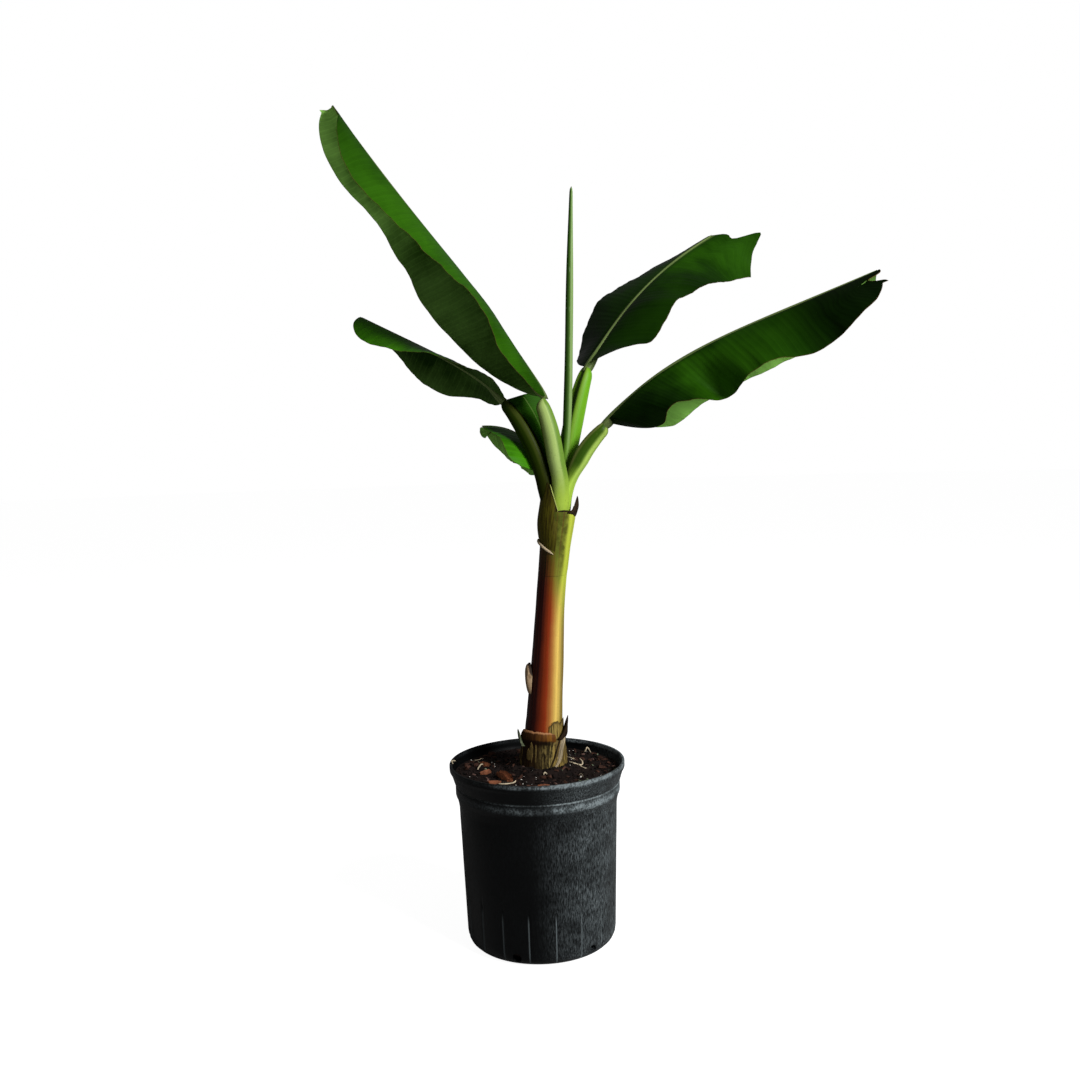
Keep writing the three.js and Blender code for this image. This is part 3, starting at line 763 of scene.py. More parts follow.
def build_mottle():
    """Soft blotches and small specks of an even surface, on object coordinates."""
    group, (vector, scale) = new_group("mottle", Vector=None, Scale=30.0)
    specks = vector.speckle(scale * 9.0, detail=2.0).ranged(0.62, 0.75)
    close_group(group, Blotch=vector.speckle(scale, detail=4.0), Speck=specks)


def new_material(name, shine=0.15):
    """A new material, and its object coordinates in metres."""
    material = bpy.data.materials.new(name)
    material.use_nodes = True
    shader_inputs(material)["Specular IOR Level"].default_value = shine
    return material, add_signal(material.node_tree, "ShaderNodeTexCoord", "Object")


def shader_inputs(material):
    return material.node_tree.nodes["Principled BSDF"].inputs


def map_signal(material, name="surface"):
    return add_signal(material.node_tree, "ShaderNodeUVMap", "UV", uv_map=name)


def set_surface(material, colour, roughness, height, strength, distance):
    """Wires a material's colour and roughness, and the small relief that its height gives."""
    tree = material.node_tree
    plug(tree, shader_inputs(material)["Base Color"], colour)
    plug(tree, shader_inputs(material)["Roughness"], roughness)
    inputs = {"Height": height, "Strength": strength, "Distance": distance}
    plug(tree, shader_inputs(material)["Normal"], add_signal(tree, "ShaderNodeBump", "Normal", inputs))


def shade(colour, factor):
    return tuple(min(1.0, value * factor) for value in colour[:3])


def blend(first, second, share):
    return tuple(between(pair, share) for pair in zip(first, second))


def pot_material(settings):
    """Black moulded plastic with a dusty, scuffed face, rubbed most on its ridges, and a painted sheen and
    painted highlights on the side that the light falls on.
    """
    material, places = new_material("pot plastic", shine=0.08)
    right, back, height = places.apart()
    inputs = {"Vector": places, "Scale": (1.0, 1.0, 0.12)}
    streaks = add_signal(material.node_tree, "ShaderNodeMapping", 0, inputs)
    streaks = streaks.speckle(1300.0, detail=4.0, roughness=0.7)
    broad = placed_group("mottle", {"Vector": places, "Scale": 26.0})["Blotch"]
    # Painted light: the dusty and rubbed marks are brightened as a painted sheen on the side that turns to
    # the light, right and forwards.
    toward_light = right - back * 0.35
    dust_and_sheen = streaks.ranged(0.40, 0.72) * broad.ranged(0.30, 0.72, 0.35, 1.0)
    dust_and_sheen = dust_and_sheen * toward_light.ranged(0.02, 0.125, 0.02, 1.3)
    wear_and_highlight = broad.ranged(0.36, 0.62, 0.15, 1.0) * places.speckle(420.0).ranged(0.40, 0.60, 0.2, 1.0)
    wear_and_highlight = wear_and_highlight * toward_light.ranged(-0.05, 0.12, 0.06, 1.0)
    # The band's ridges are rubbed plastic; the lip's ridge carries a painted highlight.
    ridges = [abs(height - level * MM).ranged(0.0, reach * MM, 1.0, 0.0) for level, reach in WORN_AND_LIT_RIDGES]
    wear_and_highlight = wear_and_highlight * reduce(lambda most, ridge: most.maths("MAXIMUM", ridge), ridges)
    # A painted highlight, a pale line, follows each groove on the lit side. The whole turns keep the count of
    # grooves above zero.
    azimuth = back.maths("ARCTAN2", right)
    spacing = math.tau / settings.groove_count
    whole_turns = 50
    turns = azimuth * (1 / spacing) + (0.5 - math.radians(GROOVE_FIRST_AZIMUTH) / spacing + whole_turns)
    line = abs(turns.maths("FRACT") - 0.48).ranged(0.012, 0.035, 1.0, 0.0)
    line = line * height.ranged(0.070, 0.055) * toward_light.ranged(-0.02, 0.10, 0.25, 0.9)
    share = dust_and_sheen + wear_and_highlight * 2.2 + line * 0.7
    colour = share.mixed(settings.colour, settings.scuff_and_sheen_colour)
    grain = streaks * 0.6 + places.speckle(2600.0, detail=1.0) * 0.3
    set_surface(material, colour, share.ranged(0.0, 1.0, 0.42, 0.72), grain, 0.35, 0.0004)
    return material


def crumb_material(name, colour, spread, scale, roughness=0.9):
    """A rough, uneven bit of soil, bark or mineral."""
    material, places = new_material(name)
    blotch = placed_group("mottle", {"Vector": places, "Scale": scale})["Blotch"]
    tint = blotch.ranged(0.3, 0.7).mixed(shade(colour, 1 - spread), shade(colour, 1 + spread))
    grain = places.speckle(scale * 8, detail=4.0)
    rough = grain.ranged(0.3, 0.7, roughness - 0.15, min(1.0, roughness + 0.08))
    set_surface(material, tint, rough, grain, 0.7, 0.0008)
    return material


def stem_material(settings):
    """Living sheath: maroon darkened to near black on the left as painted shade, red-brown in front, and
    golden to yellow-green on the right, with a painted highlight in the golden strip.

    Round the stem the right side is 0, the back 0.25, the left 0.5 and the front 0.75.
    """
    material, places = new_material("stem sheath", shine=0.12)
    girth = map_signal(material, "girth")
    rise, azimuth, _ = girth.apart()
    fibres = placed_group("fibres", {"Map": girth, "Around": 30.0, "Along": 4.0})
    drift = places.speckle(22.0, detail=2.0) - 0.5
    turn = azimuth + drift * 0.035 + (fibres["Streak"] - 0.5) * 0.045
    red, gold, side = settings.red_colour, settings.gold_and_highlight_colour, settings.side_colour
    green, olive = settings.green_colour, settings.olive_colour
    # Painted light by turn: both ramps darken towards the left, partly as painted shade over the real maroon
    # and olive, and the golden strip, where the light falls, is partly a painted highlight.
    low = turn.ramp([
        (0.0, side),
        (0.10, shade(side, 0.4)),
        (0.24, shade(red, 0.5)),
        (0.42, settings.shade_colour),
        (0.66, settings.shade_colour),
        (0.722, shade(red, 0.62)),
        (0.758, red),
        (0.790, blend(red, gold, 0.20)),
        (0.822, blend(red, gold, 0.55)),
        (0.850, gold),
        (0.868, gold),
        (0.910, shade(side, 1.6)),
        (0.965, side),
    ])
    high = turn.ramp([
        (0.0, green),
        (0.14, shade(green, 0.35)),
        (0.30, olive),
        (0.64, olive),
        (0.72, shade(green, 0.14)),
        (0.79, shade(green, 0.36)),
        (0.835, shade(green, 0.42)),
        (0.88, green),
    ])
    level = rise + azimuth.ranged(0.62, 0.86, -0.10, 0.10) + drift * 0.16
    base = level.ranged(0.60, 0.86).mixed(low, high)
    mottle = placed_group("mottle", {"Vector": places, "Scale": 130.0})
    patch = level.ranged(0.78, 0.94) * turn.ranged(0.66, 0.72) * turn.ranged(0.875, 0.84)
    patch = patch * mottle["Blotch"].ranged(0.34, 0.62, 0.25, 0.85)
    base = patch.mixed(base, shade(green, 0.12))
    base = fibres["Streak"].ranged(0.42, 0.75, 0.0, 0.45).mixed(base, shade(red, 0.35))
    base = (mottle["Speck"] * 0.55).mixed(base, shade(settings.dry_colour, 0.35))
    rough = fibres["Streak"].ranged(0.3, 0.7, 0.34, 0.5)
    set_surface(material, base, rough, fibres["Height"], 0.3, 0.0006)
    return material


def under_band(material, base, colour, rise, fibres, blotch):
    """The withered fibres below the raised band of the foot's front sheath, with a painted shadow under the
    band and painted shade on their left.
    """
    _, turn, _ = map_signal(material, "girth").apart()
    level = rise + (blotch - 0.5) * 0.08
    tones = ((0.55, 0.12), (0.72, 0.45), (0.88, 1.3))
    deep = fibres["Height"].ramp([(height, shade(colour, tone)) for height, tone in tones])
    deep = blotch.ranged(0.40, 0.60, 0.7, 0.0).mixed(deep, shade(colour, 0.12))
    deep = (turn.ranged(0.70, 0.80) * fibres["Height"].ranged(0.70, 0.90)).mixed(deep, shade(colour, 3.0))
    base = level.ranged(0.74, 0.80, 1.0, 0.0).mixed(base, deep)
    # A painted shadow under the raised band.
    band_shadow = level.ranged(0.62, 0.72) * level.ranged(0.82, 0.77) * turn.ranged(0.84, 0.79, 0.2, 0.9)
    base = band_shadow.mixed(base, (0.004, 0.002, 0.001))
    # Painted shade darkens the fibres on the left.
    return turn.ranged(0.65, 0.80, 0.85, 0.0).mixed(base, (0.012, 0.004, 0.002))


def sheath_material(name, base_colour, streak_colour, edge_colour, roughness=0.7, foot_colour=None):
    """A sheath plate with lengthwise fibres and a dried upper edge. A foot colour makes it a raised band."""
    material, places = new_material(name, shine=0.07)
    plate_map = map_signal(material)
    rise, _, _ = plate_map.apart()
    fibres = placed_group("fibres", {"Map": plate_map, "Around": 13.0, "Along": 9.0})
    mottle = placed_group("mottle", {"Vector": places, "Scale": 90.0})
    base = fibres["Streak"].ranged(0.34, 0.64).mixed(streak_colour, base_colour)
    if foot_colour is not None:
        base = under_band(material, base, foot_colour, rise, fibres, mottle["Blotch"])
    base = (mottle["Speck"] * 0.6).mixed(base, streak_colour)
    base = (rise + mottle["Blotch"] * 0.04).ranged(0.965, 1.0).mixed(base, edge_colour)
    rough = fibres["Streak"].ranged(0.3, 0.7, roughness - 0.12, roughness + 0.12)
    set_surface(material, base, rough, fibres["Height"], 0.6, 0.0008)
    return material


def stalk_material(name, flank, under, margin, foot):
    """Waxy leaf stalk: its flanks, its under side, its two upper margins and its foot differ, and its channel
    is darkened as painted shade.
    """
    material, places = new_material(name, shine=0.03 if flank[1] < 0.05 else 0.10)
    stalk_map = map_signal(material)
    along, azimuth, _ = stalk_map.apart()
    fibres = placed_group("fibres", {"Map": stalk_map, "Around": 9.0, "Along": 3.0})
    mottle = placed_group("mottle", {"Vector": places, "Scale": 55.0})
    turn = azimuth + (fibres["Streak"] - 0.5) * 0.06
    base = turn.ramp([
        (0.0, flank),
        (0.05, flank),
        (0.12, under),
        (0.25, under),
        (0.41, flank),
        (0.515, flank),
        (0.55, margin),
        (0.64, margin),
        # The channel is darkened as painted shade in its hollow.
        (0.75, shade(flank, 0.35)),
        (0.86, shade(margin, 0.6)),
        (0.92, margin),
        (0.955, flank),
    ])
    base = (along + mottle["Blotch"] * 0.12).ranged(0.22, 0.52, 1.0, 0.0).mixed(base, foot)
    base = fibres["Streak"].ranged(0.40, 0.75, 0.0, 0.35).mixed(base, shade(flank, 0.5))
    base = (mottle["Speck"] * 0.35).mixed(base, shade(under, 0.3))
    rough = fibres["Streak"].ranged(0.3, 0.7, 0.32, 0.48)
    set_surface(material, base, rough, fibres["Height"], 0.22, 0.0005)
    return material


def rib_material(settings):
    """Waxy midrib: pale green with olive streaks."""
    material, places = new_material("leaf midrib")
    fibres = placed_group("fibres", {"Map": map_signal(material), "Around": 8.0, "Along": 9.0})
    blotch = placed_group("mottle", {"Vector": places, "Scale": 45.0})["Blotch"]
    green = settings.rib_colour
    base = fibres["Streak"].ranged(0.35, 0.7).mixed(shade(green, 0.20), shade(green, 0.36))
    base = (blotch * 0.5).mixed(base, shade(settings.under_light, 0.3))
    rough = fibres["Streak"].ranged(0.3, 0.7, 0.35, 0.5)
    set_surface(material, base, rough, fibres["Height"], 0.2, 0.0004)
    return material


def blade_material(name, settings, upper, lit, vein_count, tones):
    """A leaf face. The upper face is deep and glossy, and the under face pale and duller."""
    material, places = new_material(name, shine=0.035)
    leaf_map = map_signal(material)
    along, side, _ = leaf_map.apart()
    across = abs(side * 2.0 - 1.0)
    veins = placed_group("side veins", {"Map": leaf_map, "Count": vein_count})
    mottle = placed_group("mottle", {"Vector": places, "Scale": 14.0})
    dark = settings.upper_dark if upper else settings.under_dark
    light = settings.upper_light if upper else settings.under_light
    steps = [step / (len(tones) - 1) for step in range(len(tones))]
    drift = along + (mottle["Blotch"] - 0.5) * 0.25

    def tints(green):
        return drift.ramp([(step, shade(green, tone)) for step, tone in zip(steps, tones)])

    # lit and the tones brighten and darken each face, partly as painted light and shade.
    share = mottle["Blotch"].ranged(0.32, 0.68, lit - 0.22, lit + 0.22)
    share = share + (veins["Tone"] - 0.5) * 0.36 + veins["Line"] * (0.08 if upper else 0.12)
    # Painted light: the under side is paled towards its margin as a painted glow of light shining through the
    # blade.
    if not upper:
        share = share + across.ranged(0.35, 1.0) * 0.25
    base = share.mixed(tints(dark), tints(light))
    base = (across.ranged(0.022, 0.04, 1.0, 0.0) * 0.14).mixed(base, settings.rib_colour)
    edge = across + mottle["Speck"] * 0.01
    base = (edge.ranged(0.985, 1.0) * 0.6).mixed(base, DRY_EDGE)
    tip = along + mottle["Blotch"] * 0.03
    base = (tip.ranged(0.985, 1.02) * 0.8).mixed(base, DRY_EDGE)
    low, high = (0.30, 0.48) if upper else (0.5, 0.68)
    rough = mottle["Blotch"].ranged(0.3, 0.7, low, high)
    set_surface(material, base, rough, veins["Height"], 0.25, 0.0003)
    return material


def spear_material(settings):
    """The rolled leaf: its overlap is painted pale on the right, where the light falls, and dark on the left
    as painted shade.
    """
    material, _ = new_material("rolled leaf")
    roll_map = map_signal(material)
    along, turn, _ = roll_map.apart()
    fibres = placed_group("fibres", {"Map": roll_map, "Around": 5.0, "Along": 30.0})
    # Painted light and shade by turn: pale on the right, dark on the left, along the leaf and at its foot.
    turned = turn.ramp([
        (0.0, (0.20, 0.29, 0.12)),
        (0.20, (0.08, 0.14, 0.03)),
        (0.38, (0.012, 0.030, 0.004)),
        (0.70, (0.022, 0.055, 0.006)),
        (0.76, (0.06, 0.12, 0.02)),
        (0.82, (0.20, 0.30, 0.10)),
    ])
    foot = turn.ramp([
        (0.0, (0.15, 0.33, 0.02)),
        (0.40, (0.03, 0.07, 0.004)),
        (0.62, (0.03, 0.07, 0.004)),
        (0.70, (0.14, 0.30, 0.02)),
    ])
    base = along.ranged(0.16, 0.36).mixed(foot, turned)
    base = (fibres["Streak"] * 0.3).mixed(base, settings.upper_light)
    rough = fibres["Streak"].ranged(0.3, 0.7, 0.38, 0.55)
    set_surface(material, base, rough, fibres["Height"], 0.3, 0.0004)
    return material


# Pot

def pot_profile():
    """Radius, height and rounding of the pot's outline, from the middle of its floor and back."""
    lip_foot = POT_HEIGHT - LIP_HEIGHT
    outside = [
        (0, 0, 0),
        (BODY_FOOT_RADIUS, 0, CORNER_RADIUS),
        (BODY_TOP_RADIUS, BODY_TOP, 3),
        (BAND_RADIUS - 2.5, BAND_BOTTOM - 6, 2),
        (BAND_RADIUS, BAND_BOTTOM, 1.5),
        (BAND_RADIUS, BAND_TOP, 0.8),
        (BAND_RADIUS - 0.9, BAND_TOP + 1.6, 0.6),
        (BAND_RADIUS + 0.6, BAND_TOP + 3.4, 0.8),
        (LIP_RADIUS - 2.2, lip_foot - 1, 1),
        (LIP_RADIUS, lip_foot + 2.5, 1.2),
        (LIP_RADIUS, POT_HEIGHT, 1.2),
        (LIP_RADIUS - POT_WALL - 1.4, POT_HEIGHT, 0.8),
    ]
    inside = [
        (LIP_RADIUS - POT_WALL - 2, lip_foot, 2),
        (BAND_RADIUS - POT_WALL, BAND_TOP, 2),
        (BAND_RADIUS - POT_WALL, BAND_BOTTOM, 2),
        (BODY_TOP_RADIUS - POT_WALL, BODY_TOP, 3),
        (BODY_FOOT_RADIUS - POT_WALL, CORNER_RADIUS, 2),
        (BODY_FOOT_RADIUS - CORNER_RADIUS, POT_FLOOR, 3),
        (0, POT_FLOOR, 0),
    ]
    return rounded_profile([*outside, *inside], longest=9)


def cut_grooves(mesh, settings):
    """Presses the upright grooves into the outside of the lower wall."""
    depth = settings.groove_depth / MM
    top = settings.groove_top / MM
    half_width = 360 / POT_TURN_STEPS
    spacing = 360 / settings.groove_count
    for corner in mesh.verts:
        radius = math.hypot(corner.co.x, corner.co.y)
        rise = (corner.co.z - CORNER_RADIUS) / (BODY_TOP - CORNER_RADIUS)
        inside = radius < between((BODY_FOOT_RADIUS, BODY_TOP_RADIUS), rise) - POT_WALL / 2
        if inside or not GROOVE_BOTTOM < corner.co.z < top:
            continue
        azimuth = math.degrees(math.atan2(corner.co.y, corner.co.x)) - GROOVE_FIRST_AZIMUTH
        off = abs((azimuth + spacing / 2) % spacing - spacing / 2)
        press = depth * max(0.0, 1 - off / half_width) * smooth_step(top, top - GROOVE_FADE, corner.co.z)
        corner.co.xy *= 1 - press / radius


def sway_wall(mesh):
    """Sinks the wall a little here and there, as thin moulded plastic does."""
    for corner in mesh.verts:
        sway = WALL_SWAY * noise.noise(corner.co * WALL_SWAY_PACE) * smooth_step(20, 120, corner.co.z)
        corner.co.xy *= 1 - abs(sway) / LIP_RADIUS


def drain_cutter():
    cutter = bmesh.new()
    for index in range(DRAIN_COUNT):
        azimuth = math.radians(DRAIN_FIRST_AZIMUTH + index * 360 / DRAIN_COUNT)
        place = (
            Matrix.Rotation(azimuth, 4, "Z")
            @ Matrix.Translation((BODY_FOOT_RADIUS, 0, DRAIN_HEIGHT))
            @ Matrix.Rotation(math.radians(90 + DRAIN_SLOPE), 4, "Y")
        )
        bmesh.ops.create_cone(
            cutter, cap_ends=True, segments=40, radius1=DRAIN_DIAMETER / 2, radius2=DRAIN_DIAMETER / 2,
            depth=DRAIN_CUT_DEPTH, matrix=place,
        )
    return cutter


class PLANT_OT_pot(bpy.types.Operator):
    """Turns the nursery pot, with its rolled lip, ridge, grooves and drain holes"""

    bl_idname = "plant.pot"
    bl_label = "Pot"

    def execute(self, context):
        settings = context.scene.plant_pot
        mesh = turned_mesh(pot_profile(), POT_TURN_STEPS)
        turn = Matrix.Rotation(math.radians(GROOVE_FIRST_AZIMUTH), 4, "Z")
        bmesh.ops.transform(mesh, matrix=turn, verts=mesh.verts)
        cut_grooves(mesh, settings)
        sway_wall(mesh)
        pot = finish_piece("nursery_pot", mesh, [pot_material(settings)], ["pot"])
        cut_out(pot, drain_cutter())
        pot.data.set_sharp_from_angle(angle=math.radians(42))
        return {"FINISHED"}


# Soil

def soil_height(x, y):
    """Height of the soil's surface at a place."""
    radius = math.hypot(x, y)
    base = between((SOIL_TOP, SOIL_EDGE), smooth_step(40, SOIL_RADIUS, radius))
    place = Vector((x, y, 0.0))
    lumps = sum(noise.noise(place * pace) * height for pace, height in SOIL_LUMPS)
    from_stem = math.hypot(x - STEM_FOOT_X, y)
    mound = MOUND_HEIGHT * smooth_step(MOUND_OUTER_RADIUS, MOUND_INNER_RADIUS, from_stem)
    return base + mound + lumps * smooth_step(SOIL_RADIUS, SOIL_RADIUS - 8, radius) - SOIL_SINK


def soil_mesh():
    """The soil fills the pot to just inside its wall, under a lumpy top."""
    wall = POT_WALL + SOIL_GAP
    floor = POT_FLOOR + SOIL_GAP
    side = [
        (0, floor, 0),
        (BODY_FOOT_RADIUS - CORNER_RADIUS, floor, 3),
        (BODY_FOOT_RADIUS - wall, CORNER_RADIUS, 2),
        (BODY_TOP_RADIUS - wall, BODY_TOP, 3),
        (BAND_RADIUS - wall, BAND_BOTTOM, 2),
        (BAND_RADIUS - wall, BAND_TOP, 2),
        (SOIL_RADIUS, SOIL_EDGE, 0),
    ]
    rings = [(SOIL_RADIUS * (1 - step / SOIL_RINGS), SOIL_EDGE) for step in range(1, SOIL_RINGS + 1)]
    mesh = turned_mesh([*rounded_profile(side, longest=14), *rings], SOIL_TURN_STEPS)
    for corner in mesh.verts:
        if corner.co.z > SOIL_EDGE - 0.01:
            corner.co.z = soil_height(corner.co.x, corner.co.y)
    return mesh


def free_place(dice, reach=SOIL_RADIUS - 3):
    """A random place on the soil, clear of the stem's foot."""
    while True:
        x = dice.uniform(-reach, reach)
        y = dice.uniform(-reach, reach)
        if math.hypot(x, y) < reach and math.hypot(x - STEM_FOOT_X, y) > STEM_CLEAR_RADIUS:
            return x, y


def scatter(name, finish, dice, count, shape, sizes, rise, tilt=0.5):
    """A piece of small bits that lie on the soil, each a squashed and turned copy of one shape.

    rise is how far the middle of a bit stands over the soil, as a share of its depth.
    """
    mesh = bmesh.new()
    for _ in range(count):
        x, y = free_place(dice)
        length = dice.uniform(*sizes[0])
        width = length * dice.uniform(*sizes[1])
        depth = length * dice.uniform(*sizes[2])
        place = (
            Matrix.Translation((x, y, soil_height(x, y) + depth * rise))
            @ Matrix.Rotation(dice.uniform(0, math.tau), 4, "Z")
            @ Matrix.Rotation(dice.uniform(-tilt, tilt), 4, "X")
            @ Matrix.Rotation(dice.uniform(-tilt, tilt), 4, "Y")
            @ Matrix.Diagonal((length, width, depth, 1))
        )
        made = shape(mesh)
        for corner in made:
            corner.co *= dice.uniform(*BIT_UNEVENNESS)
        bmesh.ops.transform(mesh, matrix=place, verts=made)
    finish_piece(name, mesh, [finish])


def pebble(mesh):
    return bmesh.ops.create_icosphere(mesh, subdivisions=1, radius=0.5)["verts"]


def chip(mesh):
    made = bmesh.ops.create_cone(mesh, cap_ends=True, segments=6, radius1=0.5, radius2=0.36, depth=1.0)
    return made["verts"]


def large_bark():
    """The large pieces of bark at the front left, ridged along their length."""
    mesh = bmesh.new()
    for x, y, turn, length, width, depth, tilt in LARGE_BARK:
        made = bmesh.ops.create_grid(mesh, x_segments=14, y_segments=14, size=0.5)["verts"]
        faces = list({face for corner in made for face in corner.link_faces})
        raised = bmesh.ops.extrude_face_region(mesh, geom=faces)["geom"]
        lifted = [item for item in raised if isinstance(item, bmesh.types.BMVert)]
        bmesh.ops.translate(mesh, verts=lifted, vec=(0.0, 0.0, 1.0))
        for corner in lifted:
            corner.co.z += 0.35 * math.sin(corner.co.y * 26) - 0.5 * abs(corner.co.x)
        for corner in [*made, *lifted]:
            edge = noise.noise(Vector((corner.co.x * 3, corner.co.y * 3, length)))
            corner.co.x *= 1 + 0.3 * edge
            corner.co.y *= 1 - 0.3 * abs(corner.co.x) + 0.2 * edge
        place = (
            Matrix.Translation((x, y, soil_height(x, y) - 0.4))
            @ Matrix.Rotation(math.radians(turn), 4, "Z")
            @ Matrix.Rotation(math.radians(tilt), 4, "Y")
            @ Matrix.Diagonal((length, width, depth, 1))
        )
        bmesh.ops.transform(mesh, matrix=place, verts=[*made, *lifted])
    return mesh


def rootlets(dice, count):
    """Thin pale rootlets that curl over the surface."""
    mesh = bmesh.new()
    for index in range(count):
        if index < ROOT_CLUSTER_COUNT:
            spread = zip(ROOT_CLUSTER, ROOT_CLUSTER_SPREAD)
            x, y = (middle + dice.uniform(-far, far) for middle, far in spread)
        else:
            x, y = free_place(dice, SOIL_RADIUS - 14)
        heading = dice.uniform(0, math.tau)
        bend = dice.uniform(-0.16, 0.16)
        length = dice.uniform(9, 26)
        radius = dice.uniform(0.22, 0.5)
        lift = dice.uniform(0.6, 3.2)
        points = []
        for step in range(ROOTLET_STEPS + 1):
            arch = lift * math.sin(math.pi * step / ROOTLET_STEPS)
            points.append((x, y, soil_height(x, y) + radius + arch))
            heading += bend + dice.uniform(-0.12, 0.12)
            x += math.cos(heading) * length / ROOTLET_STEPS
            y += math.sin(heading) * length / ROOTLET_STEPS
        add_strand(mesh, points, radius, rows=16, columns=6)
    for curl in PALE_CURLS:
        add_strand(mesh, [(x, y, soil_height(x, y) + lift) for x, y, lift in curl], 0.95, rows=24, columns=8)
    return mesh


class PLANT_OT_soil(bpy.types.Operator):
    """Fills the pot with potting mix: a lumpy surface, crumbs, bark chips, perlite and rootlets"""

    bl_idname = "plant.soil"
    bl_label = "Soil"

    def execute(self, context):
        settings = context.scene.plant_soil
        dice = random.Random(settings.seed)
        mix = crumb_material("potting mix", settings.colour, 0.6, 120.0)
        bark = crumb_material("bark chips", settings.bark_colour, 0.5, 160.0, roughness=0.75)
        grey = crumb_material("faded bark", settings.faded_colour, 0.4, 160.0, roughness=0.75)
        fresh = crumb_material("fresh bark", settings.fresh_colour, 0.45, 220.0, roughness=0.6)
        white = crumb_material("perlite", settings.perlite_colour, 0.25, 300.0)
        pale = crumb_material("rootlets", settings.root_colour, 0.35, 200.0, roughness=0.8)
        green = crumb_material("leaf scraps", settings.scrap_colour, 0.4, 250.0, roughness=0.8)
        grains, chips = settings.grain_count, settings.chip_count
        finish_piece("soil_bed", soil_mesh(), [mix], ["soil"])
        scatter("soil_crumbs", mix, dice, grains, pebble, CRUMB_SIZES, 0.25)
        scatter("bark_chips", bark, dice, chips, chip, CHIP_SIZES, 0.5)
        scatter("faded_chips", grey, dice, chips // 4, chip, FADED_SIZES, 0.6)
        finish_piece("large_bark", large_bark(), [fresh])
        scatter("perlite_bits", white, dice, PERLITE_COUNT, pebble, PERLITE_SIZES, 0.35)
        scatter("leaf_scraps", green, dice, SCRAP_COUNT, chip, SCRAP_SIZES, 1.2, tilt=0.8)
        finish_piece("surface_rootlets", rootlets(dice, ROOTLET_COUNT), [pale])
        return {"FINISHED"}


# Stem

def map_girth(mesh, low=STEM_FOOT, high=STEM_TOP):
    """Maps every face of a mesh by its height on the stem and its turn round the stem's axis."""
    layer = mesh.loops.layers.uv.new("girth")
    for face in mesh.faces:
        turns = []
        for corner in face.verts:
            across = corner.co.x - stem_at(corner.co.z)[0]
            turns.append(math.atan2(corner.co.y, across) / math.tau % 1.0)
        wraps = max(turns) - min(turns) > 0.5
        for loop, turn in zip(face.loops, turns):
            turn = turn + 1.0 if wraps and turn < 0.5 else turn
            loop[layer].uv = ((loop.vert.co.z - low) / (high - low), turn)


def stem_place(share, turn, depth):
    """A corner of the stem's skin, with its fibres and the raised margin of its outer sheath."""
    height = between((STEM_FOOT, STEM_TOP), share)
    around = Vector((math.cos(turn) * 9, math.sin(turn) * 9, height * 0.015))
    fibre = noise.noise(around) + 0.5 * noise.noise(around * 2.3)
    margin = math.radians(OUTER_MARGIN_AZIMUTH) + 0.08 * math.sin(height * 0.02)
    past = (turn - margin) % math.tau
    sheath = OUTER_MARGIN_STEP * smooth_step(0.0, 0.04, past) * smooth_step(3.6, 1.2, past)
    sway = 0.5 * noise.noise(Vector((math.cos(turn), math.sin(turn), height * 0.02)))
    point = on_stem(height, turn, fibre * depth + sheath + sway - 0.5)
    middle = Vector((stem_at(height)[0], 0.0, height))
    return middle.lerp(point, (1 - 0.35 * smooth_step(0.955, 1.0, share)) * rounded_ends(share, (0.0, 0.012)))


def sheath_place(spec):
    """The placing function of a sheath plate, from its shares up, round and through."""

    def place(rise, across, layer):
        azimuth = math.radians(between((spec["from"], spec["to"]), across))
        around = Vector((math.cos(azimuth) * 7, math.sin(azimuth) * 7, rise * 0.6))
        torn = spec["ragged"] * (abs(noise.noise(around * 1.4)) + 0.5 * noise.noise(around * 4.1))
        bottom = through(spec["bottom"], across)
        height = bottom + (through(spec["top"], across) - torn * smooth_step(0.4, 1.0, rise) - bottom) * rise
        ridge = 0.25 * noise.noise(around * 3.0)
        thin = 1 - 0.75 * smooth_step(0.40, 0.5, abs(across - 0.5))
        thin *= 1 - 0.5 * smooth_step(0.92, 1.0, rise) - 0.7 * smooth_step(0.08, 0.0, rise)
        outward = 0.2 + through(spec["off"], rise) + ridge + through(spec["thick"], rise) * thin * (1 - layer)
        return on_stem(height, azimuth, outward)

    return place


def foot_strips(dice, count):
    """Narrow dry strips that stand round the foot of the stem."""
    mesh = bmesh.new()
    for _ in range(count):
        start = dice.uniform(0, 360)
        top = dice.choice((244, 250, 260, 272)) + dice.uniform(-4, 4)
        spec = {
            "from": start, "to": start + dice.uniform(4, 12), "bottom": [228, 228],
            "top": [top - 8, top, top - dice.uniform(2, 10)], "off": [2.8, 3.0, dice.uniform(2.6, 4.2)],
            "thick": [dice.uniform(0.6, 1.4), 0.5], "ragged": 2,
        }
        add_plate(mesh, 12, 4, sheath_place(spec))
    return mesh


def along_stem(margin):
    return [on_stem(height, math.radians(azimuth), off) for azimuth, height, off in margin]


def add_strand(mesh, points, radius, flat=1.0, rows=24, columns=8):
    """A round or flattened strand through points, thin at both its ends."""
    points = [Vector(point) for point in points]

    def place(share, turn):
        here = through(points, share)
        step = 0.02
        ahead = through(points, min(1.0, share + step)) - through(points, max(0.0, share - step))
        ahead.normalize()
        right = ahead.cross(UP)
        right = right.normalized() if right.length > 0.1 else Vector((1.0, 0.0, 0.0))
        thin = radius * rounded_ends(share, (0.2, 0.3))
        return here + right * (math.cos(turn) * thin * flat) + right.cross(ahead) * (math.sin(turn) * thin)

    strand = grown(add_tube, rows, columns, place)
    copy = bpy.data.meshes.new("strand")
    strand.to_mesh(copy)
    strand.free()
    mesh.from_mesh(copy)
    bpy.data.meshes.remove(copy)


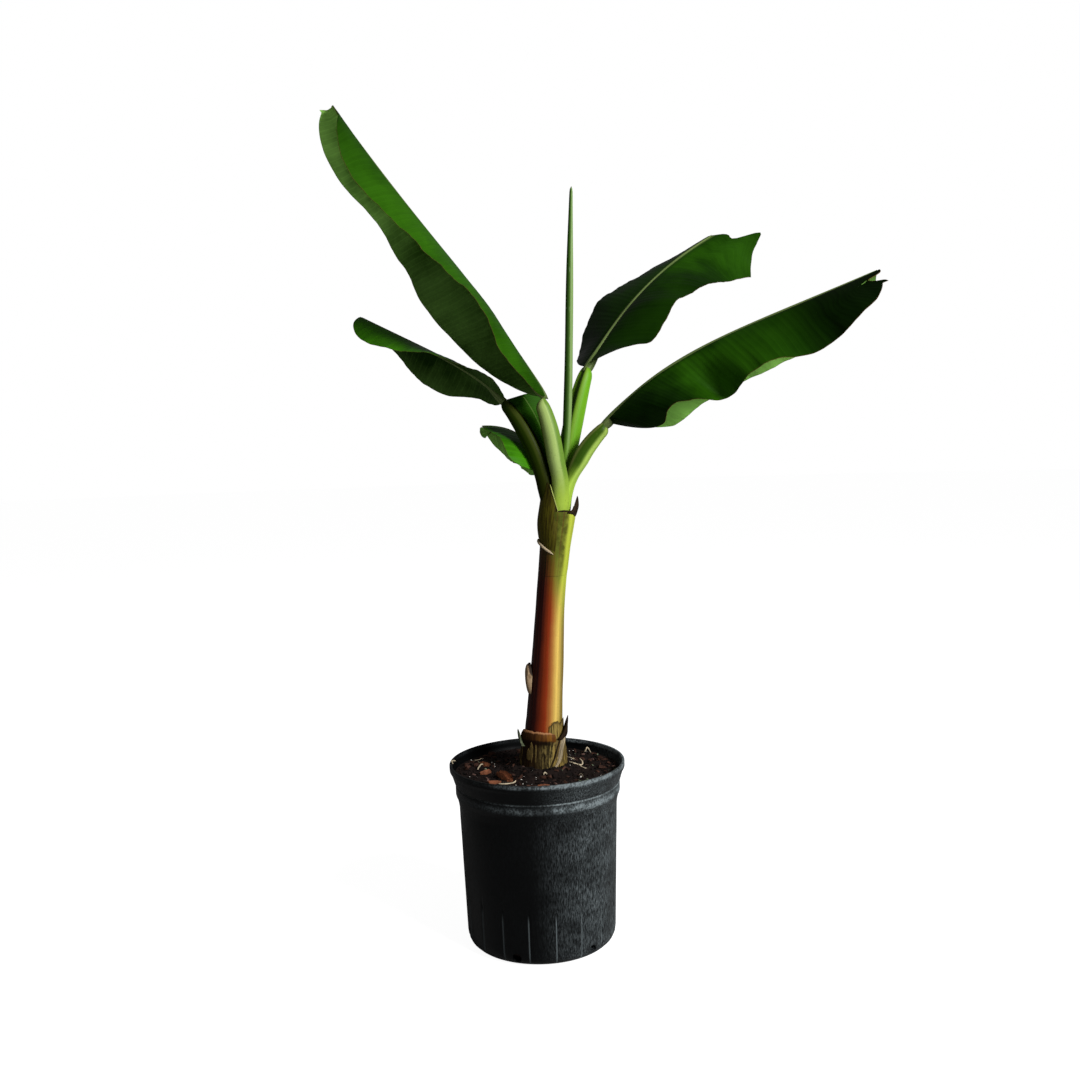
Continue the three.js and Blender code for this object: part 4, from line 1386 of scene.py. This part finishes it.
def sheath_looks(settings, skin):
    """The finish of each look that a sheath may have."""
    dry = settings.dry_colour
    return {
        "band": sheath_material(
            "ringed sheath", (0.16, 0.065, 0.008), (0.085, 0.028, 0.005), (0.34, 0.16, 0.07), 0.6,
            foot_colour=(0.095, 0.070, 0.022),
        ),
        "moss": sheath_material("mossy tip", (0.11, 0.13, 0.075), (0.05, 0.06, 0.03), (0.08, 0.09, 0.06)),
        "dry": sheath_material("dry sheath", dry, (0.028, 0.018, 0.006), shade(dry, 1.3)),
        "dark": sheath_material("withered tip", (0.030, 0.017, 0.008), WITHERED, WITHERED),
        # The bud scale's tan is brightened as painted light, so that it looks lit on the stem's shaded left.
        "scale": sheath_material("bud scale", (0.36, 0.25, 0.15), (0.20, 0.13, 0.07), (0.03, 0.02, 0.015)),
        "maroon": sheath_material(
            "outer collar", (0.072, 0.064, 0.004), (0.030, 0.022, 0.002), (0.034, 0.026, 0.004), 0.5
        ),
        "girth": skin,
    }


def wrap_sheaths(looks):
    """The eight plates that replace the sheath solids."""
    for spec in SHEATHS:
        columns = max(30, int((spec["to"] - spec["from"]) / 2))
        plate = grown(add_plate, 40, columns, sheath_place(spec))
        map_girth(plate)
        look = looks[spec["look"]]
        name = spec["node"].replace("sheath_", "") + "_sheath"
        finish_piece(name, plate, [look, look], [spec["node"]])


def add_margins(settings, withered):
    """The torn and living margins, each a strand that runs close along the stem."""
    pale = settings.pale_colour
    dead = sheath_material("pale margin", pale, shade(pale, 0.35), pale)
    torn = bmesh.new()
    add_strand(torn, along_stem(FOOT_MARGIN), 1.4, flat=3.4)
    add_strand(torn, along_stem(COLLAR_MARGIN), 1.8)
    finish_piece("pale_margins", torn, [dead])
    green = (0.42, 0.46, 0.13)
    living = sheath_material("living margin", green, (0.30, 0.36, 0.08), green, 0.5)
    fresh = grown(add_strand, along_stem(CROWN_MARGIN), 0.65)
    finish_piece("living_crown_margin", fresh, [living])
    rim = grown(add_strand, along_stem(COLLAR_RIM), 1.1)
    # The dark strand along the foot's gap is a painted shadow.
    add_strand(rim, along_stem(FOOT_GAP_SHADOW), 1.0, flat=1.6)
    finish_piece("withered_collar_rim_and_gap_shadow", rim, [withered])


class PLANT_OT_stem(bpy.types.Operator):
    """Grows the leaning stem of wrapped sheaths, with the dry and torn sheaths round it"""

    bl_idname = "plant.stem"
    bl_label = "Stem and sheaths"

    def execute(self, context):
        settings = context.scene.plant_stem
        depth = settings.fibre_depth / MM
        stem = grown(add_tube, 220, 160, lambda share, turn: stem_place(share, turn, depth))
        map_girth(stem)
        skin = stem_material(settings)
        finish_piece("banana_stem", stem, [skin], ["pseudostem"])
        looks = sheath_looks(settings, skin)
        wrap_sheaths(looks)
        edge = shade(settings.dry_colour, 0.5)
        fibrous = sheath_material("fibrous sheath", (0.27, 0.19, 0.05), (0.028, 0.013, 0.003), edge, 0.65)
        plate = grown(add_plate, 44, 48, sheath_place(FIBROUS_SHEATH))
        finish_piece("foot_fibrous_sheath", plate, [fibrous, fibrous])
        strips = foot_strips(random.Random(STRIP_SEED), STRIP_COUNT)
        finish_piece("foot_strips", strips, [looks["dry"], fibrous])
        add_margins(settings, looks["dark"])
        return {"FINISHED"}


# Leaves

def stalk_curve(leaf, curve):
    """The stalk rises from inside the crown and bends into the line of the midrib."""
    x, y = leaf["stalk"]["foot"]
    centre, ahead, _, _ = frame_at(curve, 0.0)
    centre = centre + Vector(leaf["stalk"].get("lean", (0, 0, 0)))
    return Cubic([(x, y, 0), (x, y, leaf["stalk"]["rise"]), centre - ahead * leaf["stalk"]["run"], centre])


def blade_place(leaf, curve, settings):
    """The placing function of a blade, from its shares along, across from left to right, and through."""
    thickness = settings.thickness / MM
    length = curve.length()
    first = leaf.get("start", 0.0)
    phase = sum(leaf["midrib"][3])

    def place(along, across, layer):
        offset = 2 * across - 1
        side = 1 if offset >= 0 else -1
        part = abs(offset)
        hand = "right" if side > 0 else "left"
        share = between((first, 1.0), closer_at_ends(along))
        rounded = (share - first) / (1 - first)
        share *= between((1.0, through(leaf["reach"][hand], part)), smooth_step(0.7, 1.0, share))
        droop = math.radians(through(leaf["droop"][hand], share))
        curl = math.radians(through(leaf["curl"][hand], share))
        start = droop - curl / 2
        end = start + curl * part
        sweep = math.radians(through(leaf["sweep"], share))
        least = between((LEAST_WIDTH, leaf["tip_width"]), smooth_step(0.5, 1.0, rounded))
        width = leaf["half_width"] * max(rounded_ends(rounded, leaf["ends"]), least)
        width *= through(leaf["broad"][hand], share)
        width *= 1 + 0.012 * noise.noise(Vector((share * 22, side * 3.0, phase)))
        rib = between(leaf["rib_radius"], share)
        inset = rib + CLEARANCE + leaf["inset_depth"] * max(0.0, math.sin(start))
        inset *= smooth_step(0.0, 0.03, rounded)
        arm = width * math.cos(sweep) / curl
        out = (math.sin(end) - math.sin(start)) * arm + inset * min(1.0, part * 14)
        down = (math.cos(start) - math.cos(end)) * arm
        waves = share * length / RIPPLE_LENGTH
        ripple = math.sin(math.tau * waves + side + 1.5 * part + phase)
        ripple += 0.4 * math.sin(math.tau * 2.3 * waves)
        pleat = PLEAT_DEPTH * math.sin(math.tau * share * length / PLEAT_LENGTH)
        depth = settings.ripple * leaf["ripple"] * ripple * part**2 + pleat * part
        depth += thickness * layer * (1 - 0.55 * part)
        depth += 0.6 * rib * max(0.0, 1 - part * 14)
        lean = min(1.0, part * 8)
        centre, ahead, right, under = frame_at(curve, share)
        return (
            centre
            + right * (side * (out - depth * math.sin(end) * lean))
            + under * (down + depth * math.cos(end * lean))
            + ahead * (part * width * math.sin(sweep))
        )

    return place


def stalk_place(leaf, curve):
    """The placing function of a stalk, which spreads at its foot into a sheath round the crown."""
    path = stalk_curve(leaf, curve)
    across = frame_at(curve, 0.0)[2]
    base = leaf["base"]
    start = path.at(0.0)
    heading = math.atan2(across.x, -across.y)

    def place(share, turn):
        if share < FOOT_SHARE:
            step = share / FOOT_SHARE
            centre = Vector((start.x, start.y, base["low"] * (1 - step)))
            ahead = UP.copy()
            along = 0.0
        else:
            along = (share - FOOT_SHARE) / (1 - FOOT_SHARE)
            centre = path.at(along)
            ahead = path.heading(along)
        under = ahead.cross(across).normalized()
        right = under.cross(ahead)
        radius = through(leaf["stalk"]["radius"], along) * rounded_ends(share, (0.0, 0.13))
        sink = 0.7 * along**2
        up = max(0.0, -math.sin(turn))
        wing = math.exp(-((up - WING_PLACE) / WING_SPREAD) ** 2) * (1 if math.sin(turn) < 0 else 0)
        channel = 1 - CHANNEL_DEPTH * up**8 * smooth_step(0.05, 0.4, along) + WING_RISE * wing
        wobble = 1 + 0.025 * noise.noise(Vector((math.cos(turn), math.sin(turn), along * 6)))
        reach = radius * wobble
        round_point = (
            centre
            + right * (math.cos(turn) * reach)
            + under * ((math.sin(turn) * channel + sink) * reach)
        )
        height = centre.z
        spread = 1 - smooth_step(base["clear"] - WRAP_RUN, base["clear"], height)
        if spread <= 0:
            return round_point
        turned = turn + heading - math.radians(base["azimuth"])
        ring = base["ring"]
        azimuth = math.radians(base["azimuth"]) - base["half_width"] * math.cos(turned) / ring
        reach = ring + WRAP_THICKNESS / 2 * math.sin(turned)
        wrapped = Vector((height * CROWN_LEAN + reach * math.cos(azimuth), reach * math.sin(azimuth), height))
        return round_point.lerp(wrapped, spread)

    return place


def rib_place(leaf, curve):
    """The placing function of a midrib, which starts inside the end of its stalk."""
    stalk_end = leaf["stalk"]["radius"][-1]
    back = -(RIB_START_LEANING if "lean" in leaf["stalk"] else RIB_START) / curve.length()

    def place(share, turn):
        along = between((back, 1.0), share)
        centre, _, right, under = frame_at(curve, along)
        slim = between(leaf["rib_radius"], max(along, 0.0))
        radius = slim + (stalk_end * 0.80 - slim) * (1 - smooth_step(0.0, 0.16, along))
        radius *= rounded_ends(share, (0.04, 0.03))
        sink = between((0.72, 0.85), smooth_step(0.0, 0.16, along))
        return centre + right * (math.cos(turn) * radius) + under * ((math.sin(turn) + sink) * radius)

    return place


def lobe_place(leaf, curve, settings):
    """The placing function of the folded lobe that stands beside the left leaf's stalk."""
    path = stalk_curve(leaf, curve)
    thickness = settings.thickness / MM

    def place(along, across, layer):
        share = between((LOBE["from"], LOBE["to"]), along)
        curl = math.radians(LOBE["curl"])
        start = math.radians(LOBE["droop"]) - curl / 2
        end = start + curl * across
        sweep = math.radians(LOBE["sweep"])
        width = LOBE["width"] * max(rounded_ends(along, (0.95, 0.08)), LEAST_WIDTH)
        arm = width * math.cos(sweep) / curl
        out = (math.sin(end) - math.sin(start)) * arm + through(leaf["stalk"]["radius"], share) * 0.8
        depth = thickness * layer * (1 - 0.5 * across) + 1.2 * across * math.sin(along * 9)
        centre, ahead, right, under = frame_at(path, share)
        return (
            centre
            + right * (out - depth * math.sin(end))
            + under * ((math.cos(start) - math.cos(end)) * arm + depth * math.cos(end))
            + ahead * (across * width * math.sin(sweep))
        )

    return place


def from_crown(mesh):
    bmesh.ops.translate(mesh, verts=mesh.verts, vec=CROWN)
    return mesh


def grow_lobe(leaf, curve, settings, under_face, vein_count):
    lobe = grown(add_plate, 60, 30, lobe_place(leaf, curve, settings))
    # The lobe's upper face is darkened, partly as painted shade between the stalks.
    tones = [tone * LOBE["tone"] for tone in leaf["upper"]]
    name = leaf["name"] + "_base_lobe"
    face = blade_material(name + " upper", settings, True, leaf["lit"][0], vein_count, tones)
    finish_piece("left_leaf_base_lobe", from_crown(lobe), [face, under_face], [name])


def grow_leaf(leaf, settings, rib_face):
    """One leaf: its blade of two halves, its stalk and its midrib."""
    node = leaf["name"]
    label = node.replace("leaf_", "") + "_leaf_"
    curve = Cubic(leaf["midrib"])
    vein_count = curve.length() / (settings.vein_spacing / MM)
    faces = [
        blade_material(node + " upper", settings, True, leaf["lit"][0], vein_count, leaf["upper"]),
        blade_material(node + " under", settings, False, leaf["lit"][1], vein_count, leaf["under"]),
    ]
    blade = grown(add_plate, BLADE_ROWS, 2 * HALF_COLUMNS, blade_place(leaf, curve, settings))
    halves = [node + "_blade_left", node + "_blade_right"]
    finish_piece(label + "blade", from_crown(blade), faces, halves)
    waxy = stalk_material(node + " stalk", *STALK_TONES[leaf["tone"]])
    stalk = grown(add_tube, 70, 36, stalk_place(leaf, curve))
    finish_piece(label + "stalk", from_crown(stalk), [waxy], [node + "_stalk"])
    rib = grown(add_tube, 110, 16, rib_place(leaf, curve))
    finish_piece(label + "midrib", from_crown(rib), [rib_face], [node + "_midrib"])
    if node == "leaf_left":
        grow_lobe(leaf, curve, settings, faces[1], vein_count)


class PLANT_OT_leaves(bpy.types.Operator):
    """Grows the five leaves: stalks, midribs and rippled blades with their side veins"""

    bl_idname = "plant.leaves"
    bl_label = "Leaves"

    def execute(self, context):
        settings = context.scene.plant_leaf
        rib_face = rib_material(settings)
        for leaf in LEAVES:
            grow_leaf(leaf, settings, rib_face)
        return {"FINISHED"}


class PLANT_OT_spear(bpy.types.Operator):
    """Rolls the new leaf that stands up from the crown, with its spiral seam"""

    bl_idname = "plant.spear"
    bl_label = "Rolled new leaf"

    def execute(self, context):
        curve = Cubic(SPEAR_CURVE)

        def place(share, turn):
            centre = curve.at(share)
            seam = math.radians(SPEAR_SEAM_AZIMUTH) + 0.25 * math.sin(share * 5)
            past = (turn - seam) % math.tau
            roll = 1 + SPEAR_ROLL * (past / math.tau - 0.5)
            radius = through(SPEAR_RADII, share) * roll * rounded_ends(share, (0.0, 0.015))
            return centre + Vector((math.cos(turn), math.sin(turn), 0.0)) * radius

        material = spear_material(context.scene.plant_leaf)
        spear = grown(add_tube, 160, 64, place)
        finish_piece("rolled_leaf", from_crown(spear), [material], ["leaf_spear"])
        return {"FINISHED"}


# Stage

def area_light(name, place, size, power):
    """A round light that faces the plant."""
    lamp = bpy.data.lights.new(name, "AREA")
    lamp.shape = "DISK"
    lamp.size = size
    lamp.energy = power
    light = bpy.data.objects.new(name, lamp)
    light.location = place
    light.rotation_euler = (LIGHT_TARGET - place).to_track_quat("-Z", "Y").to_euler()
    bpy.context.scene.collection.objects.link(light)


def photo_camera():
    """The camera stands where the photograph was taken, tipped down and rolled a little."""
    pitch = math.radians(CAMERA_PITCH)
    roll = math.radians(CAMERA_ROLL)
    right = Vector((1, 0, 0))
    upward = Vector((0, math.sin(pitch), math.cos(pitch)))
    forward = Vector((0, math.cos(pitch), -math.sin(pitch)))
    x_axis = right * math.cos(roll) - upward * math.sin(roll)
    y_axis = right * math.sin(roll) + upward * math.cos(roll)
    turn = Matrix((x_axis, y_axis, -forward)).transposed().to_4x4()
    data = bpy.data.cameras.new("photo camera")
    data.sensor_width = SENSOR_WIDTH
    data.lens = FOCAL_LENGTH_PIXELS / PHOTO_SIDE * SENSOR_WIDTH
    data.clip_end = 60
    camera = bpy.data.objects.new("photo camera", data)
    camera.matrix_world = Matrix.Translation(CAMERA_PLACE * MM) @ turn
    bpy.context.scene.collection.objects.link(camera)
    bpy.context.scene.camera = camera


def studio_surroundings(brightness):
    """White to the eye, and a soft grey as a light."""
    world = bpy.data.worlds.new("studio")
    bpy.context.scene.world = world
    world.use_nodes = True
    tree = world.node_tree
    tree.nodes.clear()
    seen = add_signal(tree, "ShaderNodeLightPath", "Is Camera Ray")
    soft = add_signal(tree, "ShaderNodeBackground", 0, {"Color": WHITE, "Strength": brightness})
    white = add_signal(tree, "ShaderNodeBackground", 0, {"Color": WHITE, "Strength": 1.0})
    both = add_signal(tree, "ShaderNodeMixShader", 0, {0: seen, 1: soft, 2: white})
    add_node(tree, "ShaderNodeOutputWorld", {"Surface": both})


def lay_floor(settings):
    """A pale disc that fades into the white backdrop where the camera sees it."""
    disc = bmesh.new()
    bmesh.ops.create_circle(disc, cap_ends=True, segments=96, radius=FLOOR_RADIUS)
    data = bpy.data.meshes.new("floor")
    disc.to_mesh(data)
    disc.free()
    floor = bpy.data.objects.new("floor", data)
    floor.location.z = -FLOOR_DROP
    material, _ = new_material("pale floor")
    inputs = shader_inputs(material)
    inputs["Base Color"].default_value = opaque(settings.floor_colour)
    inputs["Roughness"].default_value = 0.9
    inputs["Emission Color"].default_value = WHITE
    seen = add_signal(material.node_tree, "ShaderNodeLightPath", "Is Camera Ray")
    plug(material.node_tree, inputs["Emission Strength"], seen * settings.floor_glow)
    data.materials.append(material)
    bpy.context.scene.collection.objects.link(floor)


class PLANT_OT_stage(bpy.types.Operator):
    """Sets the pale floor, the soft studio light and the camera"""

    bl_idname = "plant.stage"
    bl_label = "Stage"

    def execute(self, context):
        settings = context.scene.plant_stage
        lay_floor(settings)
        area_light("key light", *KEY_LIGHT, settings.key_power)
        area_light("front light", *FRONT_LIGHT, settings.front_power)
        studio_surroundings(settings.sky)
        context.scene.view_settings.view_transform = "Standard"
        photo_camera()
        return {"FINISHED"}


class PLANT_PT_panel(bpy.types.Panel):
    """Lists the steps that build the plant"""

    bl_idname = "PLANT_PT_panel"
    bl_label = "Banana Plant"
    bl_space_type = "VIEW_3D"
    bl_region_type = "UI"
    bl_category = "Banana Plant"

    def draw(self, context):
        for step in STEPS:
            self.layout.operator(step.bl_idname)


SETTINGS = {
    "plant_pot": PotSettings,
    "plant_soil": SoilSettings,
    "plant_stem": StemSettings,
    "plant_leaf": LeafSettings,
    "plant_stage": StageSettings,
}
STEPS = (PLANT_OT_pot, PLANT_OT_soil, PLANT_OT_stem, PLANT_OT_leaves, PLANT_OT_spear, PLANT_OT_stage)


def register():
    for made in (*SETTINGS.values(), *STEPS, PLANT_PT_panel):
        bpy.utils.register_class(made)
    for name, group in SETTINGS.items():
        setattr(bpy.types.Scene, name, bpy.props.PointerProperty(type=group))


def unregister():
    for name in SETTINGS:
        delattr(bpy.types.Scene, name)
    for made in reversed((*SETTINGS.values(), *STEPS, PLANT_PT_panel)):
        bpy.utils.unregister_class(made)


def main():
    register()
    build_side_veins()
    build_fibres()
    build_mottle()
    bpy.ops.plant.pot()
    bpy.ops.plant.soil()
    bpy.ops.plant.stem()
    bpy.ops.plant.leaves()
    bpy.ops.plant.spear()
    bpy.ops.plant.stage()


if __name__ == "__main__":
    main()
